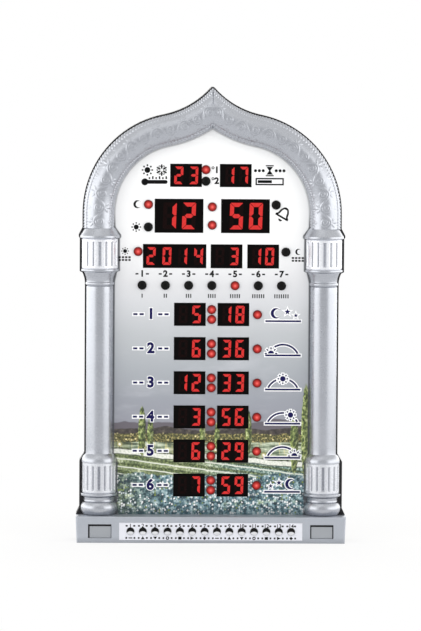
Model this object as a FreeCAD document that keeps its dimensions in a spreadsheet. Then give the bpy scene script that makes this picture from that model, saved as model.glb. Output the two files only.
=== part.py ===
import FreeCAD, Part
import os
import re

import Sketcher
from FreeCAD import Placement, Rotation, Vector

# Azan clock: an ogee arch on two half-round columns and a plinth, a printed panel with
# red digit modules and lamps, a row of fourteen keys, and a rear housing that holds the boards.
# Millimetres. X to the right, Y to the back, Z up. The panel's face is the plane y = 0,
# and the origin is under the middle of the clock, on the surface that it stands on.

sizes = {
    # plinth: the box that the columns stand on, with the keys in its front
    "plinth_half_w": 129.0,
    "plinth_taper": 1.0,
    "plinth_top": 25.4,
    "plinth_depth": 21.5,
    "plinth_wall": 2.6,
    "plinth_edge_r": 1.6,
    # key strip, keys, and the switches behind them
    "strip_w": 175.0,
    "strip_h": 16.6,
    "strip_t": 1.5,
    "strip_ledge": 1.5,
    "key_count": 14,
    "key_end": 10.8,
    "key_z": 11.3,
    "key_r": 3.5,
    "key_dome": 0.7,
    "key_length": 5.0,
    "key_proud": 1.5,
    "key_gap": 0.3,
    "key_travel": 0.8,
    "stem_w": 3.0,
    "stem_length": 2.8,
    "stem_gap": 0.2,
    "switch_w": 6.0,
    "switch_t": 4.0,
    "switch_clear": 0.4,
    "key_board_over": 5.5,
    "key_board_h": 17.4,
    "key_boss_over": 2.0,
    "key_boss_rise": 5.2,
    "key_boss_r": 2.5,
    # blanking plates at the two ends of the plinth
    "plate_share": 0.446,
    "plate_w": 22.0,
    "plate_h": 13.0,
    "plate_t": 1.0,
    "plate_recess": 1.0,
    "plate_gap": 0.15,
    # columns, from the plinth up
    "column_inset": 22.0,
    "column_wall": 2.2,
    "foot_r": 14.6,
    "foot_h": 13.1,
    "foot_bulge_r": 9.0,
    "scotia_h": 5.3,
    "scotia_r": 4.2,
    "ring_r": 17.6,
    "ring_h": 2.8,
    "base_drum_r": 16.3,
    "base_drum_h": 28.8,
    "shoulder_r": 16.7,
    "shoulder_h": 1.2,
    "cone_h": 7.5,
    "shaft_r": 13.0,
    "shaft_h": 161.1,
    "bead_r": 13.6,
    "bead_h": 3.3,
    "cavetto_h": 10.1,
    "cavetto_r": 22.0,
    "lip_r": 18.0,
    "lip_over": 2.6,
    "lip_h": 2.9,
    "drum_r": 17.3,
    "drum_h": 28.6,
    "crown_r": 19.0,
    "crown_h": 3.4,
    "neck_h": 6.5,
    "flute_count": 7,
    "flute_turn": 21.5,
    "flute_r": 1.8,
    "flute_depth": 0.9,
    "flute_floor": 1.2,
    "flute_margin": 1.4,
    # arch: a half-round moulding on an ogee line
    "arch_shift": 1.0,
    "arch_half": 14.5,
    "arch_wall": 2.2,
    "arch_leg": 14.4,
    "arch_r": 80.0,
    "arch_turn": 11.4,
    "ogee_r": 98.3,
    # rear housing
    "rim_proud": 1.3,
    "rim_seat": 0.9,
    "housing_depth": 23.0,
    "housing_wall": 2.2,
    "housing_edge_r": 1.5,
    "tip_r": 2.5,
    # printed panel and what shows in it
    "panel_inset": 6.5,
    "panel_foot": 18.0,
    "panel_t": 2.0,
    "window_gap": 0.3,
    "display_recess": 0.4,
    "clock_x": 31.7,
    "clock_drop": 2.6,
    "clock_w": 46.0,
    "clock_h": 32.0,
    "temperature_x": -25.2,
    "waiting_x": 22.2,
    "top_rise": 36.1,
    "pair_w": 29.8,
    "pair_h": 21.6,
    "year_x": -35.7,
    "year_w": 60.0,
    "month_x": 13.9,
    "day_x": 48.9,
    "date_drop": 41.1,
    "date_h": 22.4,
    "row_count": 6,
    "row_x": 20.8,
    "row_drop": 27.7,
    "row_pitch": 32.8,
    "lamp_r": 4.0,
    "lamp_gap": 0.2,
    "lamp_proud": 3.2,
    "lamp_dome": 1.8,
    "lamp_tip_r": 2.4,
    "clock_colon": 8.7,
    "row_colon": 4.7,
    "row_lamp_x": 43.8,
    "weekday_drop": 69.1,
    "weekday_pitch": 22.2,
    "noon_x": 61.0,
    "noon_rise": 10.8,
    "unit_x": -6.2,
    "unit_rise": 5.5,
    "calendar_x": 70.6,
    "calendar_rise": 4.3,
    # main board behind the panel, and what is fixed to its back
    "board_y": 9.4,
    "board_t": 1.6,
    "board_margin": 11.0,
    "board_foot": 40.0,
    "board_top_gap": 4.5,
    "board_boss_inset": 5.5,
    "board_boss_low": 62.0,
    "board_boss_rise": 112.0,
    "chip_x": 38.0,
    "chip_low": 150.0,
    "chip_rise": 62.0,
    "chip_w": 12.8,
    "chip_l": 7.6,
    "chip_t": 2.3,
    # control board across the floor of the housing
    "control_inset": 65.0,
    "control_w": 108.0,
    "control_y": 3.0,
    "control_l": 16.0,
    "control_rise": 2.8,
    "control_boss_x": 38.0,
    "processor_w": 12.0,
    "processor_t": 1.6,
    "jack_shift": 43.0,
    "jack_w": 9.0,
    "jack_l": 14.0,
    "jack_h": 11.0,
    "jack_axis_rise": 6.2,
    "jack_bore_r": 3.1,
    "jack_bore_l": 9.0,
    "jack_pin_r": 1.0,
    "jack_gap": 0.3,
    "jack_hole_r": 4.6,
    "cell_r": 10.0,
    "cell_t": 3.2,
    "cell_shift": 39.0,
    "cell_seat": 1.2,
    "cell_gap": 0.2,
    "holder_w": 23.0,
    "holder_l": 5.4,
    "holder_h": 14.0,
    "cable_shift": 12.0,
    "cable_w": 20.0,
    "cable_t": 0.9,
    "header_w": 22.0,
    "header_l": 4.0,
    "header_h": 5.0,
    "sensor_shift": 22.0,
    "sensor_w": 4.6,
    "sensor_l": 3.6,
    "sensor_h": 4.8,
    # speaker behind its slots in the rear wall
    "speaker_z": 100.0,
    "speaker_r": 25.0,
    "speaker_rim": 1.2,
    "speaker_depth": 6.8,
    "basket_r": 21.0,
    "magnet_r": 12.0,
    "speaker_seat": 2.4,
    "speaker_seat_w": 2.4,
    "speaker_boss_r": 2.6,
    "speaker_boss_gap": 0.4,
    "slot_count": 9,
    "slot_pitch": 4.4,
    "slot_w": 2.0,
    "slot_reach": 20.5,
    "vent_count": 8,
    "vent_pitch": 8.0,
    "vent_w": 2.4,
    "vent_h": 16.0,
    "vent_z": 236.0,
    # keyhole hangers in the rear wall
    "hanger_x": 55.0,
    "hanger_over": 7.6,
    "hanger_head_r": 4.6,
    "hanger_slot_r": 2.3,
    "hanger_rise": 10.0,
    # screws and the bosses that take them
    "boss_r": 4.6,
    "boss_floor": 3.0,
    "recess_r": 3.4,
    "frame_boss_r": 3.5,
    "pilot_r": 1.5,
    "pilot_depth": 9.0,
    "screw_r": 1.4,
    "screw_head_r": 3.0,
    "screw_head_h": 2.0,
    "case_screw_l": 11.0,
    "board_screw_l": 7.0,
    "small_screw_l": 5.0,
    "column_screw_rise": 27.9,
    "column_screw_drop": 19.2,
    "arch_screw_drop": 5.0,
    "arch_screw_turn": 45.0,
    "plinth_screw_inset": 10.0,
    "pillar_r": 3.0,
    "pillar_inset": 11.0,
    "pillar_low": 72.0,
    "pillar_rise": 104.0,
    "pillar_drop": 14.0,
}

# Levels and places that follow from the sizes, each a formula of sizes and other places.
places = {
    # levels of a column, from its foot up
    "foot_top": "plinth_top + foot_h",
    "ring_foot": "foot_top + scotia_h",
    "ring_top": "ring_foot + ring_h",
    "base_drum_top": "ring_top + base_drum_h",
    "cone_foot": "base_drum_top + shoulder_h",
    "shaft_foot": "cone_foot + cone_h",
    "bead_foot": "shaft_foot + shaft_h",
    "cavetto_foot": "bead_foot + bead_h",
    "lip_foot": "cavetto_foot + cavetto_h",
    "drum_foot": "lip_foot + lip_h",
    "crown_foot": "drum_foot + drum_h",
    "neck_foot": "crown_foot + crown_h",
    "column_top": "neck_foot + neck_h",
    # the columns, the arch on them, and the middles of the arch's arcs
    "column_x": "plinth_half_w - column_inset",
    "arch_x": "column_x + arch_shift",
    "spring_z": "column_top + arch_leg",
    "arch_cx": "arch_x - arch_r",
    "ogee_cx": "arch_cx + (arch_r + ogee_r) * sin(arch_turn)",
    "ogee_cz": "spring_z + (arch_r + ogee_r) * cos(arch_turn)",
    "panel_top": "ogee_cz - sqrt((ogee_r + panel_inset)^2 - ogee_cx^2)",
    # along the plinth
    "key_pitch": "(strip_w - 2 * key_end) / (key_count - 1)",
    "plate_x": "strip_w / 2 + plate_share * (plinth_half_w - strip_w / 2)",
    "key_board_w": "strip_w + 2 * key_board_over",
    "key_boss_x": "strip_w / 2 + key_boss_over",
    "plinth_screw_x": "plinth_half_w - plinth_screw_inset",
    # from the front of the keys back to the rear wall
    "plinth_face": "-plinth_depth",
    "plinth_inside": "plinth_face + plinth_wall",
    "key_front": "plinth_face - key_proud",
    "switch_face": "key_front + key_length + key_travel + switch_clear",
    "key_board_y": "switch_face + switch_t",
    "board_back": "board_y + board_t",
    "wall_face": "housing_depth - housing_wall",
    # levels on the panel
    "top_z": "spring_z + top_rise",
    "clock_z": "spring_z - clock_drop",
    "date_z": "spring_z - date_drop",
    "weekday_z": "spring_z - weekday_drop",
    "row_z": "weekday_z - row_drop",
    # inside and on the rear housing
    "hanger_z": "spring_z + hanger_over",
    "column_screw_low": "shaft_foot + column_screw_rise",
    "column_screw_high": "bead_foot - column_screw_drop",
    "pillar_x": "arch_x - pillar_inset",
    "pillar_top": "panel_top - pillar_drop",
    "board_half_w": "pillar_x - board_margin",
    "board_boss_x": "board_half_w - board_boss_inset",
    "board_shoulder": "pillar_top - pillar_r - board_top_gap - board_half_w",
    "control_x": "column_x - control_inset",
    "control_foot": "housing_wall + control_rise",
    "control_face": "control_foot + board_t",
    "control_middle": "control_y + control_l / 2",
    "jack_x": "control_x + jack_shift",
    "cell_x": "control_x - cell_shift",
    "cable_x": "control_x - cable_shift",
    "sensor_x": "control_x + sensor_shift",
    "speaker_ring": "speaker_r + speaker_boss_r + speaker_boss_gap",
}

doc = FreeCAD.newDocument("azan_clock")
sheet = doc.addObject("Spreadsheet::Sheet", "Sizes")
for row, (name, value) in enumerate(sizes.items(), start=1):
    sheet.set(f"A{row}", name)
    sheet.set(f"B{row}", str(value))
    sheet.setAlias(f"B{row}", name)
doc.recompute()

nodes = []  # the sub-parts, in the order in which they are written


# ---- formulas, sketches and features -------------------------------------------------


def formula(text):
    """The text with places written out and each size's name turned into its cell in the sheet."""

    def spell(word):
        if word[0] in places:
            return f"({formula(places[word[0]])})"
        return "Sizes." + word[0] if word[0] in sizes else word[0]

    return re.sub(r"[a-z_]\w*", spell, text)


def number(text):
    """The present value of a formula."""
    return float(sheet.evalExpression(formula(text)))


def bind(thing, **properties):
    """Ties properties of an object to formulas."""
    for name, text in properties.items():
        thing.setExpression(name, formula(text))


def place(thing, x="0", y="0", z="0"):
    """Ties the three coordinates of an object's Placement to formulas."""
    for axis, text in zip("xyz", (x, y, z)):
        thing.setExpression(f"Placement.Base.{axis}", formula(text))


def sub_part(kind, label):
    """A new object of the document that becomes a node of its own."""
    thing = doc.addObject(kind, label)
    nodes.append(thing)
    return thing


def origin_plane(body, role):
    return next(plane for plane in body.Origin.OriginFeatures if plane.Role == role)


def sketch_on(body, role, name, offset="0"):
    """A sketch on one of the body's planes, moved along the plane's normal."""
    sketch = body.newObject("Sketcher::SketchObject", name)
    sketch.AttachmentSupport = [(origin_plane(body, role), "")]
    sketch.MapMode = "FlatFace"
    sketch.setExpression("AttachmentOffset.Base.z", formula(offset))
    return sketch


def fix(sketch, kind, *where):
    """A dimension of a sketch, whose last argument is its formula."""
    index = sketch.addConstraint(Sketcher.Constraint(kind, *where[:-1], number(where[-1])))
    sketch.setExpression(f"Constraints[{index}]", formula(where[-1]))


def draw(sketch, corners, closed=True):
    """Lines and arcs through corners (across, up), each a pair of formulas.

    A corner may also hold the radius of the arc that leaves it, and which side of the
    way that arc's centre lies on.
    """
    points = [Vector(number(corner[0]), number(corner[1]), 0) for corner in corners]
    edges = []
    for i in range(len(corners) if closed else len(corners) - 1):
        start, end = points[i], points[(i + 1) % len(points)]
        if len(corners[i]) == 2:
            edges.append((sketch.addGeometry(Part.LineSegment(start, end), False), 1, 2))
            continue
        radius, side = number(corners[i][2]), corners[i][3]
        chord = end - start
        lift = max(radius**2 - chord.Length**2 / 4, 0) ** 0.5
        sideways = Vector(-chord.y, chord.x, 0).normalize() * lift
        centre = (start + end) * 0.5 + sideways * (1 if side == "left" else -1)
        circle = Part.Circle(centre, Vector(0, 0, 1), radius)
        first, last = (start, end) if side == "left" else (end, start)
        rays = (first - centre, last - centre)
        turn = [Vector(1, 0, 0).getAngle(ray) * (1 if ray.y >= 0 else -1) for ray in rays]
        arc = sketch.addGeometry(Part.ArcOfCircle(circle, *turn), False)
        edges.append((arc, 1, 2) if side == "left" else (arc, 2, 1))
        fix(sketch, "Radius", arc, corners[i][2])
    for here, after in zip(edges, edges[1:] + (edges[:1] if closed else [])):
        sketch.addConstraint(Sketcher.Constraint("Coincident", here[0], here[2], after[0], after[1]))
    for (edge, first, last), corner in zip(edges, corners):
        fix(sketch, "DistanceX", -1, 1, edge, first, corner[0])
        fix(sketch, "DistanceY", -1, 1, edge, first, corner[1])
    if not closed:
        fix(sketch, "DistanceX", -1, 1, edges[-1][0], edges[-1][2], corners[-1][0])
        fix(sketch, "DistanceY", -1, 1, edges[-1][0], edges[-1][2], corners[-1][1])


def draw_box(sketch, across, up, width, height):
    """A rectangle about its centre."""
    left, right = f"{across} - ({width}) / 2", f"{across} + ({width}) / 2"
    low, high = f"{up} - ({height}) / 2", f"{up} + ({height}) / 2"
    draw(sketch, [(left, low), (right, low), (right, high), (left, high)])


def draw_circles(sketch, radius, centres):
    """Circles of one radius about each centre."""
    for across, up in centres:
        middle = Vector(number(across), number(up), 0)
        circle = sketch.addGeometry(Part.Circle(middle, Vector(0, 0, 1), number(radius)), False)
        fix(sketch, "DistanceX", -1, 1, circle, 3, across)
        fix(sketch, "DistanceY", -1, 1, circle, 3, up)
        fix(sketch, "Radius", circle, radius)


def extrude(body, kind, sketch, length, backwards=False, midplane=False):
    """A Pad or Pocket of a sketch; the volume shows whether it did anything."""
    before = body.Shape.Volume if body.Tip else 0
    feature = body.newObject("PartDesign::" + kind, kind + sketch.Name)
    feature.Profile = sketch
    feature.Reversed = backwards
    feature.Midplane = midplane
    bind(feature, Length=length)
    doc.recompute()
    if abs(feature.Shape.Volume - before) < 0.01:
        raise ValueError(f"{feature.Label} of {body.Label} changes nothing")
    return feature


def pad(body, sketch, length, **options):
    return extrude(body, "Pad", sketch, length, **options)


def pocket(body, sketch, length, **options):
    return extrude(body, "Pocket", sketch, length, **options)


def revolve(body, sketch, angle="360", backwards=False):
    """A Revolution about the sketch's upright axis."""
    feature = body.newObject("PartDesign::Revolution", "Turned" + sketch.Name)
    feature.Profile = sketch
    feature.ReferenceAxis = (sketch, ["V_Axis"])
    feature.Reversed = backwards
    bind(feature, Angle=angle)
    doc.recompute()
    return feature


def box_part(label, width, length, height, x="0", y="0", z="0"):
    """A plain block about its middle in X, from its front and its foot."""
    block = sub_part("Part::Box", label)
    bind(block, Length=width, Width=length, Height=height)
    place(block, f"{x} - ({width}) / 2", y, z)
    return block


def copies(label, source, spots):
    """One sub-part of several equal solids, each the source's shape at a place."""
    group = sub_part("Part::Feature", label)
    doc.recompute()
    solids = []
    for x, y, z in spots:
        solid = source.Shape.copy()
        solid.Placement = Placement(Vector(number(x), number(y), number(z)), Rotation()) * solid.Placement
        solids.append(solid)
    group.Shape = Part.makeCompound(solids)
    return group


# ---- places of repeated pieces -------------------------------------------------------

row_levels = [f"(row_z - {i} * row_pitch)" for i in range(int(number("row_count")))]
key_places = [f"({i} - (key_count - 1) / 2) * key_pitch" for i in range(int(number("key_count")))]

column_screws = [(f"{s}column_x", z) for s in ("", "-") for z in ("column_screw_low", "column_screw_high")]
arch_screws = [(f"{s}arch_x", "(spring_z - arch_screw_drop)") for s in ("", "-")] + [
    (f"{s}(arch_cx + arch_r * sin(arch_screw_turn))", "(spring_z + arch_r * cos(arch_screw_turn))")
    for s in ("", "-")
]
plinth_screws = [("plinth_screw_x", "plinth_top / 2"), ("-plinth_screw_x", "plinth_top / 2")]
case_screws = column_screws + arch_screws + plinth_screws
board_screws = [
    (f"{s}board_boss_x", f"(board_boss_low + {i} * board_boss_rise)") for s in ("", "-") for i in range(3)
]
key_screws = [(f"{s}key_boss_x", f"(key_z {t} key_boss_rise)") for s in ("", "-") for t in ("+", "-")]
pillars = [
    (f"{s}pillar_x", f"(pillar_low + {i} * pillar_rise)") for s in ("", "-") for i in range(3)
] + [("0", "pillar_top")]
speaker_screws = [
    (f"(speaker_ring * cos({90 + 120 * i}))", f"(speaker_z + speaker_ring * sin({90 + 120 * i}))")
    for i in range(3)
]


def ogee(offset):
    """Right and left halves of the arch's line, moved outwards, from spring to spring."""
    side = f"(arch_x + {offset})"
    turn_x = f"(arch_cx + (arch_r + {offset}) * sin(arch_turn))"
    turn_z = f"(spring_z + (arch_r + {offset}) * cos(arch_turn))"
    apex_z = f"(ogee_cz - sqrt((ogee_r - {offset})^2 - ogee_cx^2))"
    rise, fall = f"arch_r + {offset}", f"ogee_r - {offset}"
    return [
        (side, "spring_z", rise, "left"),
        (turn_x, turn_z, fall, "right"),
        ("0", apex_z, fall, "right"),
        ("-" + turn_x, turn_z, rise, "left"),
        ("-" + side, "spring_z"),
    ]


def mirrored(corners):
    """The left half of an outline, from its right half, which runs upwards."""
    arcs = [()] + [corner[2:] for corner in corners[:-1]]
    return [("-" + corner[0], corner[1], *arc) for corner, arc in reversed(list(zip(corners, arcs)))]


# ---- front mouldings -----------------------------------------------------------------


def flutes(body, name, foot, height, radius):
    """Upright grooves round a drum, with plain ends, the middle one facing the front."""
    cut = sketch_on(body, "XY_Plane", name, f"{foot} + flute_margin")
    draw_circles(cut, "flute_r", [("0", f"-({radius} + flute_r - flute_depth)")])
    groove = pocket(body, cut, f"{height} - 2 * flute_margin", backwards=True)
    for sign in (False, True):
        pattern = body.newObject("PartDesign::PolarPattern", f"{name}Side{int(sign)}")
        pattern.Originals = [groove]
        pattern.Axis = (cut, ["N_Axis"])
        pattern.Reversed = sign
        bind(pattern, Angle="flute_turn * (flute_count - 1) / 2", Occurrences="(flute_count + 1) / 2")
        body.Tip = pattern
        doc.recompute()


def column(label, side):
    """A half-round column, hollow and open at the back, turned about its own axis."""
    body = sub_part("PartDesign::Body", label)
    outline = sketch_on(body, "XZ_Plane", label + "_outline")
    draw(
        outline,
        [
            ("foot_r", "plinth_top", "foot_bulge_r", "left"),
            ("foot_r", "foot_top", "scotia_r", "right"),
            ("ring_r - 1", "ring_foot"),
            ("ring_r", "ring_foot"),
            ("ring_r", "ring_top"),
            ("base_drum_r", "ring_top"),
            ("base_drum_r", "base_drum_top"),
            ("shoulder_r", "base_drum_top"),
            ("shoulder_r", "cone_foot"),
            ("shaft_r", "shaft_foot"),
            ("shaft_r", "bead_foot"),
            ("bead_r", "bead_foot"),
            ("bead_r", "cavetto_foot"),
            ("shaft_r", "cavetto_foot", "cavetto_r", "right"),
            ("lip_r - lip_over", "lip_foot"),
            ("lip_r", "lip_foot"),
            ("lip_r", "drum_foot"),
            ("drum_r", "drum_foot"),
            ("drum_r", "crown_foot"),
            ("crown_r", "crown_foot"),
            ("crown_r", "neck_foot"),
            ("arch_half", "column_top"),
            ("arch_half - column_wall", "column_top"),
            ("arch_half - column_wall", "neck_foot"),
            ("drum_r - flute_depth - flute_floor", "crown_foot"),
            ("drum_r - flute_depth - flute_floor", "drum_foot"),
            ("shaft_r - column_wall", "lip_foot"),
            ("shaft_r - column_wall", "shaft_foot"),
            ("base_drum_r - flute_depth - flute_floor", "base_drum_top"),
            ("base_drum_r - flute_depth - flute_floor", "ring_top"),
            ("foot_r - column_wall", "foot_top"),
            ("foot_r - column_wall", "plinth_top"),
        ],
    )
    revolve(body, outline, angle="180", backwards=True)
    flutes(body, label + "_low_flutes", "ring_top", "base_drum_h", "base_drum_r")
    flutes(body, label + "_high_flutes", "drum_foot", "drum_h", "drum_r")
    centres = [("0", "column_screw_low"), ("0", "column_screw_high")]
    bosses = sketch_on(body, "XZ_Plane", label + "_bosses")
    draw_circles(bosses, "frame_boss_r", centres)
    pad(body, bosses, "shaft_r - column_wall / 2")
    pilots = sketch_on(body, "XZ_Plane", label + "_pilots")
    draw_circles(pilots, "pilot_r", centres)
    pocket(body, pilots, "pilot_depth", backwards=True)
    place(body, x=side + "column_x")


def arch_frame():
    """The arch: a hollow half-round moulding swept up one side, mitred and mirrored."""
    body = sub_part("PartDesign::Body", "arch_frame")
    path = sketch_on(body, "XZ_Plane", "arch_path")
    shoulder, turning = ogee("0")[:2]
    past = "arch_half"  # the sweep runs on past the middle, where it is mitred
    beyond = (f"-{past}", f"(ogee_cz - sqrt(ogee_r^2 - (ogee_cx + {past})^2))")
    draw(path, [("arch_x", "column_top"), shoulder, turning, beyond], closed=False)
    section = sketch_on(body, "XY_Plane", "arch_section", "column_top")
    inner = "(arch_half - arch_wall)"
    draw(
        section,
        [
            ("arch_x - arch_half", "0", "arch_half", "left"),
            ("arch_x", "-arch_half", "arch_half", "left"),
            ("arch_x + arch_half", "0"),
            (f"arch_x + {inner}", "0", inner, "right"),
            ("arch_x", f"-{inner}", inner, "right"),
            (f"arch_x - {inner}", "0"),
        ],
    )
    doc.recompute()
    sweep = body.newObject("PartDesign::AdditivePipe", "arch_sweep")
    sweep.Profile = section
    sweep.Spine = path
    doc.recompute()
    mitre = sketch_on(body, "XZ_Plane", "arch_mitre")
    draw_box(mitre, "-arch_x", "3 / 2 * spring_z", "2 * arch_x", "spring_z")
    pocket(body, mitre, "4 * arch_half", midplane=True)
    both = body.newObject("PartDesign::Mirrored", "arch_both_sides")
    both.TransformMode = "Whole shape"
    both.MirrorPlane = (origin_plane(body, "YZ_Plane"), [""])
    body.Tip = both
    doc.recompute()
    bosses = sketch_on(body, "XZ_Plane", "arch_bosses")
    draw_circles(bosses, "frame_boss_r", arch_screws)
    pad(body, bosses, "arch_half - arch_wall / 2")
    pilots = sketch_on(body, "XZ_Plane", "arch_pilots")
    draw_circles(pilots, "pilot_r", arch_screws)
    pocket(body, pilots, "pilot_depth", backwards=True)


def plinth_shell():
    """The plinth: a hollow box open at the back, with slots and seats in its front."""
    body = sub_part("PartDesign::Body", "plinth_shell")

    def front_view(name, inset):
        view = sketch_on(body, "XZ_Plane", name)
        right = [
            (f"(plinth_half_w - plinth_taper - {inset})", inset),
            (f"(plinth_half_w - {inset})", f"(plinth_top - {inset})"),
        ]
        draw(view, right + mirrored(right))
        return view

    block = pad(body, front_view("plinth_outside", "0"), "plinth_depth")
    front = [
        f"Edge{i}"
        for i, edge in enumerate(block.Shape.Edges, start=1)
        if edge.BoundBox.YMax < number("plinth_face") + 0.01
    ]
    rounding = body.newObject("PartDesign::Fillet", "plinth_edges")
    rounding.Base = (block, front)
    bind(rounding, Radius="plinth_edge_r")
    doc.recompute()
    pocket(body, front_view("plinth_inside", "plinth_wall"), "plinth_depth - plinth_wall", backwards=True)
    posts = sketch_on(body, "XZ_Plane", "plinth_posts", "0")
    draw_circles(posts, "frame_boss_r", plinth_screws)
    pad(body, posts, "plinth_depth - plinth_wall / 2")
    pilots = sketch_on(body, "XZ_Plane", "plinth_pilots")
    draw_circles(pilots, "pilot_r", plinth_screws)
    pocket(body, pilots, "pilot_depth", backwards=True)
    bosses = sketch_on(body, "XZ_Plane", "key_bosses", "-key_board_y")
    draw_circles(bosses, "key_boss_r", key_screws)
    pad(body, bosses, "key_board_y - plinth_inside + plinth_wall / 2")
    holes = sketch_on(body, "XZ_Plane", "key_boss_holes", "-key_board_y")
    draw_circles(holes, "pilot_r", key_screws)
    pocket(body, holes, "small_screw_l", backwards=True)
    seat = sketch_on(body, "XZ_Plane", "strip_seat", "plinth_depth")
    draw_box(seat, "0", "key_z", "strip_w + 2 * plate_gap", "strip_h + 2 * plate_gap")
    pocket(body, seat, "strip_t")
    slot = sketch_on(body, "XZ_Plane", "strip_slot", "plinth_depth")
    draw_box(slot, "0", "key_z", "strip_w - 2 * strip_ledge", "strip_h - 2 * strip_ledge")
    pocket(body, slot, "plinth_wall")
    ends = sketch_on(body, "XZ_Plane", "plate_seats", "plinth_depth")
    for side in ("", "-"):
        draw_box(ends, side + "plate_x", "key_z", "plate_w + 2 * plate_gap", "plate_h + 2 * plate_gap")
    pocket(body, ends, "plate_recess + plate_t")


# ---- keys ----------------------------------------------------------------------------


def key_strip():
    """The pale strip round the keys, set in its seat in the plinth's front."""
    body = sub_part("PartDesign::Body", "key_strip")
    outline = sketch_on(body, "XZ_Plane", "strip_outline")
    draw_box(outline, "0", "key_z", "strip_w", "strip_h")
    draw_circles(outline, "key_r + key_gap", [(x, "key_z") for x in key_places])
    pad(body, outline, "strip_t")
    place(body, y="strip_t - plinth_depth")


def key(label, x):
    """A round domed cap on a square stem that runs in its switch."""
    body = sub_part("PartDesign::Body", label)
    section = sketch_on(body, "XZ_Plane", label + "_section")
    draw(
        section,
        [
            ("0", "0"),
            ("key_r", "0"),
            ("key_r", "key_length - key_dome"),
            ("key_r - key_dome", "key_length"),
            ("0", "key_length"),
        ],
    )
    revolve(body, section)
    stem = sketch_on(body, "XY_Plane", label + "_stem")
    draw_box(stem, "0", "0", "stem_w", "stem_w")
    pad(body, stem, "stem_length", backwards=True)
    body.Placement = Placement(Vector(), Rotation(Vector(1, 0, 0), 90))
    place(body, x=x, y="key_front + key_length", z="key_z")


def key_switches():
    """The row of switches, each with a square well for a key's stem."""
    source = doc.addObject("PartDesign::Body", "one_switch")
    face = sketch_on(source, "XZ_Plane", "switch_face")
    draw_box(face, "0", "0", "switch_w", "switch_w")
    pad(source, face, "switch_t")
    well = sketch_on(source, "XZ_Plane", "switch_well", "switch_t")
    draw_box(well, "0", "0", "stem_w + 2 * stem_gap", "stem_w + 2 * stem_gap")
    pocket(source, well, "stem_length - switch_clear")
    copies("key_switches", source, [(x, "key_board_y", "key_z") for x in key_places])


# ---- rear housing --------------------------------------------------------------------


def housing_outline():
    """The housing's edge: the front mouldings' outline with a narrow dark rim round it."""

    def out(radius):
        return f"(column_x + {radius} + rim_proud)"

    right = [
        ("(plinth_half_w - plinth_taper)", "0"),
        ("plinth_half_w", "plinth_top"),
        (out("ring_r"), "plinth_top + foot_h / 2"),
        (out("ring_r"), "cone_foot"),
        (out("shaft_r"), "shaft_foot"),
        (out("shaft_r"), "cavetto_foot", "cavetto_r", "right"),
        (out("lip_r - lip_over"), "lip_foot - rim_proud"),
        (out("lip_r"), "lip_foot"),
        (out("lip_r"), "crown_foot"),
        (out("crown_r"), "crown_foot + crown_h / 2"),
        (out("crown_r"), "neck_foot"),
        ("(arch_x + arch_half + rim_proud)", "column_top"),
    ]
    return right + ogee("(arch_half + rim_proud)") + mirrored(right)


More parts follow.
